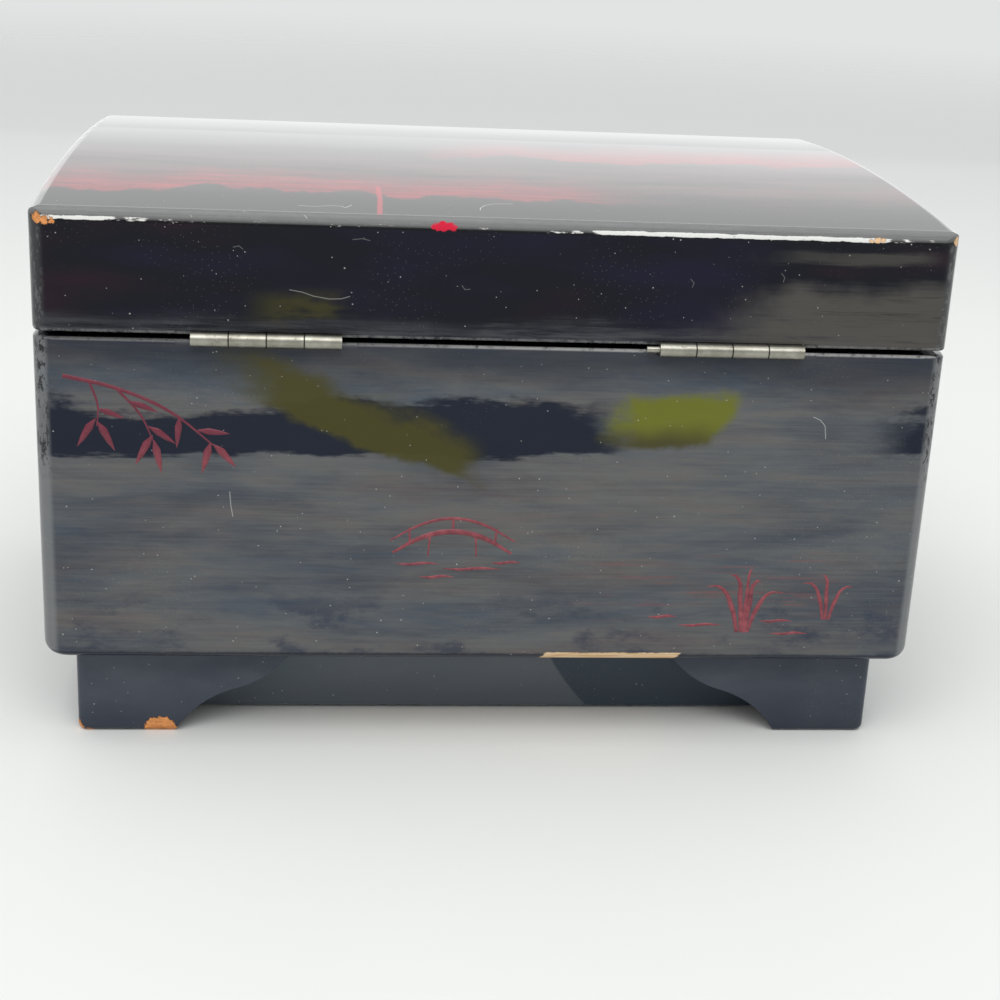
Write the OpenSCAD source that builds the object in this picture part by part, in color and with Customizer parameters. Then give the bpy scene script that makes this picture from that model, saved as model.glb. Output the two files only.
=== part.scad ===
// Musical jewelry box: a lacquered wooden case on bracket feet, with a crowned lid on two
// butt hinges, a lined tray, a front drawer and a bottom-wound musical movement.
// Millimetres. +Z is up, the drawer faces -Y and the hinges are on the +Y side.
// The origin is on the floor, under the middle of the object's outer box.

/* [Case] */
// Outer width of the case and lid
case_w = 180; // [172:1:210]
// Outer depth of the case and lid
case_d = 128; // [124:1:150]
// Height of the case walls, from the feet to the rim
case_h = 67; // [65:0.5:76]
// Thickness of the case and lid walls
wall = 8; // [7.5:0.25:9]
// Radius of the upright corners
corner_r = 5; // [3:0.5:6]
// Radius of the case's lower edges
belly_r = 3; // [2:0.5:6]
// Radius of the edges along the parting line
rim_r = 1; // [0.5:0.1:1.5]
// Thickness of the bottom panel
bottom_t = 5; // [4:0.5:6]
// Thickness of the tray deck over the drawer
deck_t = 3; // [2.5:0.5:4]
// Height of the front rail below the drawer
front_rail_h = 8; // [7.5:0.5:10]

/* [Feet] */
// Height of the bracket feet
foot_h = 20; // [18:0.5:26]
// Thickness of the foot boards
foot_t = 8; // [6:0.5:9]
// Width of a foot on the floor
foot_sole = 20; // [14:0.5:24]
// Width of a foot under the case
foot_top = 45.5; // [38:0.5:46]
// Set-back of the feet from the sides of the case
foot_inset_x = 5.5; // [5:0.5:9]
// Set-back of the feet from the front and back of the case
foot_inset_y = 8; // [5:0.5:10]
// Radius of the feet's outer upright edges
foot_r = 2; // [1:0.5:3]
// Set-back of the base rails behind the feet
rail_inset = 3; // [1:0.5:4]
// Thickness of the base rails
rail_t = 6; // [4:0.5:6]
// Clearance of the base rails over the floor
rail_lift = 1; // [1:0.5:5]

/* [Lid] */
// Height of the lid's walls at the back and front
lid_h = 23.6; // [20:0.2:30]
// Rise of the lid's crown above its front and back edges
crown = 2.5; // [2:0.1:8]
// Thickness of the crowned lid board
lid_board_t = 5; // [4:0.5:7]
// Radius of the lid's upper edges
lid_edge_r = 2.5; // [0.8:0.1:3]
// Depth of the lid's lining below its rim
lining_recess = 5; // [4:0.5:7]
// Thickness of the lid's lining board
lining_t = 3; // [2:0.5:4]
// Width of the mirror
mirror_w = 124; // [100:1:130]
// Depth of the mirror
mirror_d = 76; // [60:1:84]
// Thickness of the mirror
mirror_t = 2; // [1.5:0.5:2.5]
// Width of the beading round the mirror
bead_w = 4; // [3:0.5:6]

/* [Hinges] */
// Length of a hinge
hinge_l = 28.8; // [24:0.4:32]
// Distance of a hinge's middle from the side of the case
hinge_end = 44.7; // [36:0.1:50]
// Number of knuckles in a hinge
knuckles = 4; // [3:1:5]
// Outer radius of the knuckles
knuckle_r = 1.45; // [1.3:0.05:1.7]
// Radius of the hinge pins
pin_r = 0.65; // [0.5:0.05:0.8]
// Thickness of a hinge leaf
leaf_t = 0.45; // [0.4:0.05:0.6]
// Width of a hinge leaf on the rim
leaf_w = 6.5; // [5.5:0.25:6.75]
// Distance of the hinge axis behind the case
hinge_proud = 1; // [0.8:0.1:1.2]
// Length of the right pin that has crept out of its knuckles
pin_creep = 2.5; // [0:0.5:4]

/* [Drawer] */
// Height of the drawer opening
drawer_open_h = 29; // [28:0.5:31]
// Thickness of the drawer front
drawer_front_t = 7; // [6:0.5:8]
// Thickness of the drawer's side and back boards
drawer_side_t = 5; // [4:0.5:6]
// Thickness of the drawer bottom
drawer_bottom_t = 3; // [2:0.5:4]
// Length of the drawer that its stop keeps in the case
drawer_keep = 21; // [19:1:30]
// Radius of the drawer knob
knob_r = 6; // [5:0.25:7]
// Reach of the knob in front of the drawer
knob_reach = 11; // [10:0.5:14]

/* [Tray] */
// Height of the tray dividers above the deck
divider_h = 22; // [16:1:23]
// Thickness of the tray dividers
divider_t = 3; // [2:0.5:4]
// Thickness of the velvet linings
velvet_t = 0.8; // [0.5:0.1:1.2]
// Number of ring rolls
roll_count = 5; // [3:1:5]
// Width of the slot between two ring rolls
roll_slot = 0.5; // [0.4:0.1:1.2]
// Space in front of and behind the ring rolls
roll_margin = 2.5; // [1:0.5:4]

/* [Movement] */
// Width of the movement's bedplate
bed_w = 52; // [48:0.5:54]
// Depth of the movement's bedplate
bed_d = 40; // [40:0.5:42]
// Thickness of the bedplate
bed_t = 2.5; // [2:0.25:3]
// Outer radius of the spring barrel
barrel_r = 10.5; // [10.5:0.1:10.6]
// Height of the spring barrel
barrel_h = 8.5; // [8:0.25:9]
// Number of crown teeth on the barrel
crown_teeth = 24; // [24:1:24]
// Number of leaves on the cylinder's pinion
pinion_teeth = 12; // [12:1:12]
// Number of teeth on the cylinder's worm wheel
wheel_teeth = 20; // [20:1:20]
// Radius of the pinned cylinder
cylinder_r = 6.5; // [6:0.1:6.6]
// Number of notes in the comb
notes = 18; // [12:1:18]
// Radius of the winding arbor
arbor_r = 2; // [1.5:0.1:2.2]
// Half width of the winding key
key_reach = 11; // [8:0.5:11.5]
// Lift of the stop rod when the lid is fully open
stop_lift = 3; // [2:0.25:3]

/* [Fits] */
// Running clearance on radius of shafts and pins
run_gap = 0.05; // [0.03:0.01:0.08]
// Clearance between pieces that slide past each other
slide_gap = 0.3; // [0.2:0.05:0.4]
// Gap round the drawer front
drawer_gap = 0.6; // [0.4:0.1:0.8]
// Space between the movement and what stands near it
bed_gap = 3; // [2.5:0.5:4]

/* [Hidden] */
$fn = 64;
eps = 0.01;
lacquer = "#17161b";
bare_wood = "#c89a62";
velvet = "#7c1020";
nickel = "#b9b4a6";
steel = "#8d9196";
brass = "#c2a048";
zinc = "#9a9c9c";

// Levels above the floor
case_z = foot_h;
floor_z = case_z + bottom_t;
rim_z = case_z + case_h;
// The lower edges and toes stay tighter than the upright corners
lower_r = min(belly_r, corner_r - 0.5);
toe_r = 0.75 * foot_r;
leaf_gap = 0.1;
lid_gap = 2 * leaf_t + leaf_gap;
lid_z = rim_z + lid_gap;
lid_edge_z = lid_z + lid_h;
crest_z = lid_edge_z + crown;
drawer_z = case_z + front_rail_h;
deck_z = drawer_z + drawer_open_h;
tray_z = deck_z + deck_t;
lining_z = lid_z + lining_recess;

// Plan of the case
in_w = case_w - 2 * wall;
in_d = case_d - 2 * wall;
back_y = case_d / 2;
front_y = -case_d / 2;
in_back = in_d / 2;
in_front = -in_d / 2;

// Crown of the lid, a circle over the depth
crown_r = (case_d * case_d / 4 + crown * crown) / (2 * crown);
crown_z = crest_z - crown_r;

// Hinge axis and knuckles
hinge_x = case_w / 2 - hinge_end;
axis_y = back_y + hinge_proud;
axis_z = rim_z + lid_gap / 2;
knuckle_l = hinge_l / knuckles;
knuckle_side_gap = 0.08;
leaf_screw_x = hinge_l / 2 - knuckle_l * 0.75;
leaf_screw_y = back_y - leaf_w * 0.62;
leaf_screw_r = 0.8;
leaf_screw_head = 1.6;
leaf_screw_l = 8;

// Centring of the outer box: the knob stands out in front, the hinges behind
shift_y = (knob_reach - hinge_proud - knuckle_r) / 2;

// Movement: its bedplate stands at the back, in the middle of the width
bed_y = in_back - bed_gap - bed_d / 2;
bed_top = floor_z + bed_t;
bed_edge = 0.5;
line_back = 8;
barrel_x = -bed_w / 2 + barrel_r + bed_edge;
line_y = bed_y - line_back;
boss_h = 0.7;
barrel_z = bed_top + boss_h + slide_gap;
barrel_top = barrel_z + barrel_h;
barrel_wall = 1;
crown_pitch_r = 9.2;
tooth_up = 0.7;
tooth_down = 0.9;
crown_tooth_h = tooth_up + tooth_down;
crown_tooth_l = 2;
tooth_root_t = 0.95;
tooth_tip_t = 0.45;
pinion_r = crown_pitch_r * pinion_teeth / crown_teeth;
cyl_z = barrel_top + crown_tooth_h - tooth_up + pinion_r;
shaft_r = 1;
pinion_x = barrel_x + crown_pitch_r;
pinion_w = 2;
post_t = 2.5;
post_x0 = pinion_x + pinion_w / 2 + 1.4;
post_x1 = bed_w / 2 - post_t;
wheel_t = 1.2;
wheel_x = post_x1 - wheel_t - 1;
cyl_x0 = post_x0 + post_t + 1.9;
cyl_l = wheel_x - 3 - cyl_x0;
track_edge = 0.6;
track = (cyl_l - 2 * track_edge) / (notes - 1);
track_x0 = cyl_x0 + track_edge;
pin_h = 0.6;
cyl_pin_r = 0.2;
post_d = 8;
post_top = cyl_z + 3.5;
wheel_r = 7;
wheel_up = 0.7;
worm_pitch = 2 * PI * wheel_r / wheel_teeth;
worm_core = 1.15;
worm_throw = 0.65;
worm_out = worm_core + worm_throw;
worm_l = 4 * worm_pitch;
gov_x = wheel_x + wheel_t / 2;
gov_y = line_y + wheel_r + worm_out - 0.15;
gov_shaft_r = 0.8;
bracket_z = cyl_z + worm_l / 2 + 0.5;
bracket_t = 1;
fan_z = bracket_z + bracket_t + 0.4;
fan_h = 3.6;
fan_r = 3.6;
fan_t = 0.5;
bracket_back = 6.5;
bracket_post = 4;
comb_t = 1.2;
comb_tip_y = line_y + cylinder_r + pin_h + slide_gap;
comb_tooth_l = 11;
comb_base = 7;
comb_tooth_w = track * 0.74;
comb_screw_x = cyl_l * 0.28;
comb_screw_r = 1.1;

// Stop rod, which the lid's lining holds down
rod_x = gov_x;
rod_y = in_back - bed_gap - 1.5;
rod_r = 1.2;
finger_z = fan_z + fan_h + slide_gap;
finger_t = 1;
rod_top = lining_z - 0.15;

// Winding key under the case
key_z = 5;
key_h = 10;
key_hub_r = 4;
key_t = 1.8;
key_web = 3;
arbor_z = key_z + key_web;

// Drawer
drawer_w = in_w - 2 * drawer_gap;
drawer_l = case_d - wall - bed_gap - bed_d - 2 * bed_gap;
drawer_back_y = front_y + drawer_l;
drawer_travel = drawer_l - drawer_keep;
runner_h = front_rail_h - bottom_t + 0.2;
runner_w = 10;
drawer_low = floor_z + runner_h + slide_gap;
drawer_side_h = 23;
drawer_back_h = 26;
groove_h = 2;
stop_w = 40;
stop_t = 6;
stop_y = drawer_back_y - drawer_side_t - drawer_travel - slide_gap;
knob_z = drawer_z + drawer_open_h / 2;
knob_screw_r = 1.5;
knob_stem_r = 2.8;

// Tray
cross_y = bed_y - bed_d / 2 - divider_t - 2;
short_x = bed_w / 2 + 5;
window_t = 2.5;
window_y = rod_y - rod_r - slide_gap;
window_ledge = 3;
roll_step = (cross_y - in_front - 2 * roll_margin) / roll_count;
roll_r = (roll_step - roll_slot) / 2;

// Outlines

module block(low, high) {
    translate(low) cube(high - low);
}

// Rectangle from z = 0 to h with rounded lower and upper corners, centred on the first axis
module edge_profile(w, h, low_r, high_r) {
    translate([-w / 2, low_r]) square([w, h - low_r - high_r]);
    translate([-w / 2 + low_r, 0]) square([w - 2 * low_r, h / 2]);
    translate([-w / 2 + high_r, h / 2]) square([w - 2 * high_r, h / 2]);
    for (side = [-1, 1]) {
        translate([side * (w / 2 - low_r), low_r]) circle(low_r);
        translate([side * (w / 2 - high_r), h - high_r]) circle(high_r);
    }
}

module plan_outline() {
    square([case_w - 2 * corner_r, case_d], center = true);
    square([case_w, case_d - 2 * corner_r], center = true);
    for (x = [-1, 1], y = [-1, 1])
        translate([x * (case_w / 2 - corner_r), y * (case_d / 2 - corner_r)]) circle(corner_r);
}

// Depth profile of the lid: square walls, a crowned top and rounded long upper edges
module lid_profile() {
    fillet_y = case_d / 2 - lid_edge_r;
    fillet_z = crown_z + sqrt(pow(crown_r - lid_edge_r, 2) - fillet_y * fillet_y);
    tangent_y = fillet_y * crown_r / (crown_r - lid_edge_r);
    translate([0, lid_z]) edge_profile(case_d, fillet_z - lid_z, rim_r, eps);
    intersection() {
        translate([-tangent_y, lid_z + rim_r]) square([2 * tangent_y, crest_z]);
        translate([0, crown_z]) circle(crown_r, $fn = 720);
    }
    for (side = [-1, 1]) translate([side * fillet_y, fillet_z]) circle(lid_edge_r);
}

module along_x(length) {
    rotate([90, 0, 90]) translate([0, 0, -length / 2]) linear_extrude(length) children();
}

module along_y(length) {
    rotate([90, 0, 0]) translate([0, 0, -length / 2]) linear_extrude(length) children();
}

// Quarter of a round post at a corner: x and y give its side, low_r and high_r round its ends
module corner_post(x, y, h, plan_r, low_r, high_r) {
    intersection() {
        rotate_extrude() intersection() {
            edge_profile(2 * plan_r, h, low_r, high_r);
            square([plan_r, h]);
        }
        translate([x > 0 ? 0 : -2 * plan_r, y > 0 ? 0 : -2 * plan_r, -h]) cube([2 * plan_r, 2 * plan_r, 3 * h]);
    }
}

// Block on z = 0 whose upright corners, lower edges and upper edges are rounded
module soft_block(w, d, h, plan_r, low_r, high_r) {
    along_x(w - 2 * plan_r) edge_profile(d, h, low_r, high_r);
    along_y(d - 2 * plan_r) edge_profile(w, h, low_r, high_r);
    for (x = [-1, 1], y = [-1, 1])
        translate([x * (w / 2 - plan_r), y * (d / 2 - plan_r), 0]) corner_post(x, y, h, plan_r, low_r, high_r);
}

module case_form() {
    translate([0, 0, case_z]) soft_block(case_w, case_d, case_h, corner_r, lower_r, rim_r);
}

// Ring about the crown's axis: its outer corners round the lid's curved side edges
module crown_ring() {
    ring = 2 * lid_h;
    translate([0, 0, crown_z]) rotate([0, 90, 0]) rotate_extrude($fn = 720) {
        translate([crown_r - ring, -case_w / 2]) square([ring - lid_edge_r, case_w]);
        translate([crown_r - ring, -case_w / 2 + lid_edge_r]) square([ring, case_w - 2 * lid_edge_r]);
        for (side = [-1, 1])
            translate([crown_r - lid_edge_r, side * (case_w / 2 - lid_edge_r)]) circle(lid_edge_r, $fn = 24);
    }
}

module lid_form() {
    intersection() {
        crown_ring();
        translate([0, 0, lid_z]) linear_extrude(crest_z) plan_outline();
        along_x(case_w + 2) lid_profile();
        translate([0, 0, lid_z]) along_y(case_d + 2) edge_profile(case_w, 2 * lid_h, rim_r, rim_r);
    }
}

// Space under the crowned board
module under_board(grow = 0) {
    translate([0, 0, crown_z]) rotate([0, 90, 0])
        cylinder(r = crown_r - lid_board_t + grow, h = case_w + 4, center = true, $fn = 720);
}

// Hinges

module on_hinge_axis(x = 0) {
    translate([x, axis_y, axis_z]) rotate([0, 90, 0]) children();
}

// Room for the knuckles in the wood at one hinge
module knuckle_room(x) {
    on_hinge_axis(x) cylinder(r = knuckle_r + slide_gap, h = hinge_l + 2 * pin_creep + 1, center = true);
}

module leaf_screw_at(x, up, grow) {
    face_z = up ? lid_z - leaf_t : rim_z + leaf_t;
    for (side = [-1, 1])
        translate([x + side * leaf_screw_x, leaf_screw_y, face_z]) rotate([up ? 0 : 180, 0, 0]) {
            cylinder(r = leaf_screw_r + grow, h = leaf_screw_l + grow);
            cylinder(r1 = leaf_screw_head + grow, r2 = leaf_screw_r + grow, h = 1 + grow);
        }
}

// Leaf with every second knuckle: phase 0 starts with the knuckle at the +X end
module hinge_leaf(x, up, phase) {
    plate_z = up ? lid_z - leaf_t : rim_z;
    color(nickel) difference() {
        union() {
            block([x - hinge_l / 2, back_y - leaf_w, plate_z], [x + hinge_l / 2, axis_y, plate_z + leaf_t]);
            for (k = [phase : 2 : knuckles - 1])
                on_hinge_axis(x + hinge_l / 2 - (k + 0.5) * knuckle_l)
                    cylinder(r = knuckle_r, h = knuckle_l - knuckle_side_gap, center = true);
        }
        for (k = [1 - phase : 2 : knuckles - 1])
            on_hinge_axis(x + hinge_l / 2 - (k + 0.5) * knuckle_l)
                cylinder(r = knuckle_r + slide_gap / 2, h = knuckle_l + knuckle_side_gap, center = true);
        on_hinge_axis(x) cylinder(r = pin_r + run_gap, h = hinge_l + 2, center = true);
        leaf_screw_at(x, up, run_gap);
    }
}

module hinge_pin(x, creep) {
    color(nickel) on_hinge_axis(x + creep) cylinder(r = pin_r, h = hinge_l, center = true);
}

module hinge_case_leaf_left() { hinge_leaf(-hinge_x, false, 1); }
module hinge_case_leaf_right() { hinge_leaf(hinge_x, false, 1); }
module hinge_lid_leaf_left() { hinge_leaf(-hinge_x, true, 0); }
module hinge_lid_leaf_right() { hinge_leaf(hinge_x, true, 0); }
module hinge_pin_left() { hinge_pin(-hinge_x, pin_creep); }
module hinge_pin_right() { hinge_pin(hinge_x, 0); }

module hinge_case_screws() {
    color(nickel) for (side = [-1, 1]) leaf_screw_at(side * hinge_x, false, 0);
}

module hinge_lid_screws() {
    color(nickel) for (side = [-1, 1]) leaf_screw_at(side * hinge_x, true, 0);
}

// Case

module back_panel() {
    color(lacquer) difference() {
        intersection() {
            case_form();
            block([-in_w / 2, in_back, case_z - 1], [in_w / 2, back_y + 1, rim_z + 1]);
        }
        for (side = [-1, 1]) {
            knuckle_room(side * hinge_x);
            leaf_screw_at(side * hinge_x, false, run_gap);
        }
    }
}

module side_panel(side) {
    color(lacquer) intersection() {
        case_form();
        translate([side * (case_w / 2 - wall / 2), 0, case_z + case_h / 2])
            cube([wall, case_d + 2, case_h + 2], center = true);
    }
}

module left_side_panel() { side_panel(-1); }
module right_side_panel() { side_panel(1); }

module front_panel() {
    color(lacquer) intersection() {
        case_form();
        block([-in_w / 2, front_y - 1, deck_z], [in_w / 2, in_front, rim_z + 1]);
    }
}

module front_rail() {
    color(lacquer) intersection() {
        case_form();
        block([-in_w / 2, front_y - 1, case_z - 1], [in_w / 2, in_front, drawer_z]);
    }
}

module movement_screw_places() {
    for (place = [[-1, 1], [1, 1], [1, -1]])
        translate([place[0] * (bed_w / 2 - 3.5), bed_y + place[1] * (bed_d / 2 - 3), 0]) children();
}

module bottom_panel() {
    color(bare_wood) difference() {
        block([-in_w / 2, in_front, case_z], [in_w / 2, in_back, floor_z]);
        translate([barrel_x, line_y, case_z - 1]) cylinder(r = arbor_r + 0.5, h = bottom_t + 2);
        movement_screw_places() translate([0, 0, case_z - 1]) cylinder(r = 1.5, h = bottom_t + 2);
    }
}

module tray_deck() {
    color(bare_wood) difference() {
        block([-in_w / 2, in_front, deck_z], [in_w / 2, in_back, tray_z]);
        block([-short_x + window_ledge, cross_y + divider_t + window_ledge, deck_z - 1],
              [short_x - window_ledge, window_y - window_ledge, tray_z + 1]);
        translate([rod_x, rod_y, deck_z - 1]) cylinder(r = rod_r + run_gap, h = deck_t + 2);
    }
}

module tray_cross_divider() {
    color(velvet) block([-in_w / 2, cross_y, tray_z], [in_w / 2, cross_y + divider_t, tray_z + divider_h]);
}

module tray_short_dividers() {
    color(velvet) for (side = [-1, 1])
        translate([side * (short_x + divider_t / 2), 0, 0])
            block([-divider_t / 2, cross_y + divider_t, tray_z], [divider_t / 2, in_back, tray_z + divider_h]);
}

module tray_front_divider() {
    color(velvet) block([-divider_t / 2, in_front, tray_z], [divider_t / 2, cross_y, tray_z + divider_h]);
}

module tray_lining() {
    color(velvet) {
        block([divider_t / 2, in_front, tray_z], [in_w / 2, cross_y, tray_z + velvet_t]);
        block([-in_w / 2, in_front, tray_z], [-divider_t / 2, cross_y, tray_z + velvet_t]);
        for (side = [-1, 1])
            translate([side * (in_w / 4 + short_x / 2 + divider_t / 2), 0, 0])
                block([-(in_w / 2 - short_x - divider_t) / 2, cross_y + divider_t, tray_z],
                      [(in_w / 2 - short_x - divider_t) / 2, in_back, tray_z + velvet_t]);
    }
}

// Soft half-round rolls that grip rings between them
module ring_rolls() {
    roll_l = in_w / 2 - divider_t / 2 - 2 * slide_gap;
    mid_x = -(in_w / 2 + divider_t / 2) / 2;
    mid_y = (in_front + cross_y) / 2;
    color(velvet) for (i = [0 : roll_count - 1])
        translate([mid_x, mid_y + (i - (roll_count - 1) / 2) * roll_step, tray_z + velvet_t])
            intersection() {
                translate([0, 0, roll_r * 0.35]) rotate([0, 90, 0])
                    cylinder(r = roll_r, h = roll_l, center = true);
                translate([0, 0, roll_r]) cube([roll_l + 1, 2 * roll_r + 1, 2 * roll_r], center = true);
            }
}

module movement_window() {
    color("lightcyan", 0.4)
        block([-short_x + slide_gap, cross_y + divider_t + slide_gap, tray_z],
              [short_x - slide_gap, window_y, tray_z + window_t]);
}

module drawer_runners() {
    color(bare_wood) for (side = [-1, 1])
        translate([side * (in_w / 2 - runner_w / 2), 0, 0])
            block([-runner_w / 2, in_front, floor_z], [runner_w / 2, drawer_back_y, floor_z + runner_h]);
}

module drawer_stop() {
    color(bare_wood) block([-stop_w / 2, in_front, drawer_low + drawer_side_h + 2 * slide_gap],
                           [stop_w / 2, stop_y, deck_z]);
}

// Feet and base rails

function arc(centre, radius, from, to, steps) =
    [for (i = [0 : steps]) centre + radius * [cos(from + (to - from) * i / steps), sin(from + (to - from) * i / steps)]];

// Bracket board of a foot, from its outer corner at x = 0: a hollow curve above the sole and a
// round one below the case meet in the middle of the rise
module foot_outline() {
    steep = 64;
    flat = 20;
    run = foot_top - foot_sole;
    turn = steep - flat;
    chord = norm([run, foot_h]) / 2;
    bend_r = chord / (2 * sin(turn / 2));
    lean = atan2(foot_h, run) - (steep + flat) / 2;
    low = [foot_sole, 0] + bend_r * [sin(steep + lean), -cos(steep + lean)];
    high = [foot_top, foot_h] - bend_r * [sin(steep + lean), -cos(steep + lean)];
    steps = 10;
    polygon(concat(
        [[0, foot_h], [0, 0]],
        arc(low, bend_r, 90 + steep + lean, 90 + flat + lean, steps),
        arc(high, bend_r, flat + lean - 90, steep + lean - 90, steps)
    ));
}

// One corner foot of two bracket boards, for the corner at (-X, +Y)
module corner_foot() {
    intersection() {
        translate([-case_w / 2 + foot_inset_x, back_y - foot_inset_y, 0]) {
            rotate([90, 0, 0]) linear_extrude(foot_t) foot_outline();
            rotate([90, 0, -90]) translate([0, 0, -foot_t]) linear_extrude(foot_t) foot_outline();
        }
        soft_block(case_w - 2 * foot_inset_x, case_d - 2 * foot_inset_y, 2 * foot_h, foot_r, toe_r, toe_r);
    }
}

module foot_back_left() { color(lacquer) corner_foot(); }
module foot_back_right() { color(lacquer) mirror([1, 0, 0]) corner_foot(); }
module foot_front_left() { color(lacquer) mirror([0, 1, 0]) corner_foot(); }
module foot_front_right() { color(lacquer) rotate([0, 0, 180]) corner_foot(); }

base_x = case_w / 2 - foot_inset_x - foot_t - rail_inset;
base_y = case_d / 2 - foot_inset_y - foot_t - rail_inset;

module base_cross_rail(side) {
    color(lacquer) translate([0, side * (base_y - rail_t / 2), (foot_h + rail_lift) / 2])
        cube([2 * base_x, rail_t, foot_h - rail_lift], center = true);
}

module base_front_rail() { base_cross_rail(-1); }
module base_back_rail() { base_cross_rail(1); }

module base_side_rails() {
    color(lacquer) for (side = [-1, 1])
        translate([side * (base_x - rail_t / 2), 0, (foot_h + rail_lift) / 2])
            cube([rail_t, 2 * (base_y - rail_t), foot_h - rail_lift], center = true);
}

// Lid

module lid_board() {
    color(lacquer) difference() {
        lid_form();
        under_board();
    }
}

module lid_wall_part(low, high) {
    intersection() {
        lid_form();
        under_board();
        block(low, high);
    }
}

module lid_back_rail() {
    color(lacquer) difference() {
        lid_wall_part([-in_w / 2, in_back, lid_z - 1], [in_w / 2, back_y + 1, crest_z]);
        for (side = [-1, 1]) {
            knuckle_room(side * hinge_x);
            leaf_screw_at(side * hinge_x, true, run_gap);
        }
    }
}

module lid_front_rail() {
    color(lacquer) lid_wall_part([-in_w / 2, front_y - 1, lid_z - 1], [in_w / 2, in_front, crest_z]);
}

module lid_left_rail() {
    color(lacquer) lid_wall_part([-case_w / 2 - 1, front_y - 1, lid_z - 1], [-in_w / 2, back_y + 1, crest_z]);
}

module lid_right_rail() {
    color(lacquer) lid_wall_part([in_w / 2, front_y - 1, lid_z - 1], [case_w / 2 + 1, back_y + 1, crest_z]);
}

module lid_lining() {
    color(velvet) block([-in_w / 2, in_front, lining_z], [in_w / 2, in_back, lining_z + lining_t]);
}

module mirror_plate() {
    color("silver") translate([0, 0, lining_z - mirror_t / 2]) cube([mirror_w, mirror_d, mirror_t], center = true);
}

module mirror_beading() {
    bead_t = mirror_t + 0.5;
    color(brass) translate([0, 0, lining_z - bead_t / 2]) difference() {
        cube([mirror_w + 2 * bead_w, mirror_d + 2 * bead_w, bead_t], center = true);
        cube([mirror_w, mirror_d, bead_t + 1], center = true);
    }
}

// Drawer

module drawer_front() {
    color(lacquer) difference() {
        block([-drawer_w / 2, front_y, drawer_z + drawer_gap],
              [drawer_w / 2, front_y + drawer_front_t, deck_z - drawer_gap]);
        translate([0, front_y - 1, knob_z]) rotate([-90, 0, 0])
            cylinder(r = knob_screw_r + 0.1, h = drawer_front_t + 2);
    }
}

module drawer_side(side) {
    color(bare_wood) translate([side * (drawer_w - drawer_side_t) / 2, 0, 0])
        block([-drawer_side_t / 2, front_y + drawer_front_t, drawer_low],
              [drawer_side_t / 2, drawer_back_y, drawer_low + drawer_side_h]);
}

module drawer_left_side() { drawer_side(-1); }
module drawer_right_side() { drawer_side(1); }

module drawer_back() {
    half = drawer_w / 2 - drawer_side_t;
    color(bare_wood) block([-half, drawer_back_y - drawer_side_t, drawer_low],
                           [half, drawer_back_y, drawer_low + drawer_back_h]);
}

module drawer_bottom() {
    half = drawer_w / 2 - drawer_side_t;
    color(bare_wood) block([-half, front_y + drawer_front_t, drawer_low + groove_h],
                           [half, drawer_back_y - drawer_side_t, drawer_low + groove_h + drawer_bottom_t]);
}

module drawer_lining() {
    half = drawer_w / 2 - drawer_side_t;
    lining_low = drawer_low + groove_h + drawer_bottom_t;
    color(velvet) block([-half, front_y + drawer_front_t, lining_low],
                        [half, drawer_back_y - drawer_side_t, lining_low + velvet_t]);
}

// Turned knob, drawn in the plane of its radius and its reach
module drawer_knob() {
    head_z = knob_reach - knob_r * 0.55;
    color(nickel) translate([0, front_y, knob_z]) rotate([90, 0, 0]) difference() {
        union() {
            cylinder(r = knob_stem_r + 1.4, h = 1.2);
            cylinder(r = knob_stem_r, h = head_z);
            translate([0, 0, head_z - knob_r * 0.45]) intersection() {
                cylinder(r = knob_r, h = knob_r);
                translate([0, 0, knob_r - knob_r * 1.5]) sphere(knob_r * 1.5);
            }
        }
        translate([0, 0, -1]) cylinder(r = knob_screw_r, h = head_z);
    }
}

module drawer_knob_screw() {
    color(steel) translate([0, front_y, knob_z]) rotate([-90, 0, 0]) {
        translate([0, 0, -knob_reach + knob_r]) cylinder(r = knob_screw_r, h = knob_reach - knob_r + drawer_front_t);
        translate([0, 0, drawer_front_t]) cylinder(r = 2 * knob_screw_r, h = 1.6);
    }
}

// Movement

// Tooth that stands on y = 0, drawn with its height along Y
module tooth(h, root_t, tip_t) {
    polygon([[-root_t / 2, -0.2], [root_t / 2, -0.2], [tip_t / 2, h], [-tip_t / 2, h]]);
}

module spur(teeth, pitch_r, up, down, root_t, tip_t) {
    circle(pitch_r - down);
    for (i = [0 : teeth - 1]) rotate(360 * i / teeth)
        translate([0, pitch_r - down]) tooth(up + down, root_t, tip_t);
}

module comb_pedestal() {
    pad_y = comb_tip_y + comb_tooth_l;
    block([cyl_x0, pad_y, bed_top - 0.2], [cyl_x0 + cyl_l, pad_y + comb_base, cyl_z - comb_t / 2]);
}

module comb_screw_places() {
    for (side = [-1, 1])
        translate([cyl_x0 + cyl_l / 2 + side * comb_screw_x, comb_tip_y + comb_tooth_l + comb_base / 2, 0]) children();
}

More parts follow.
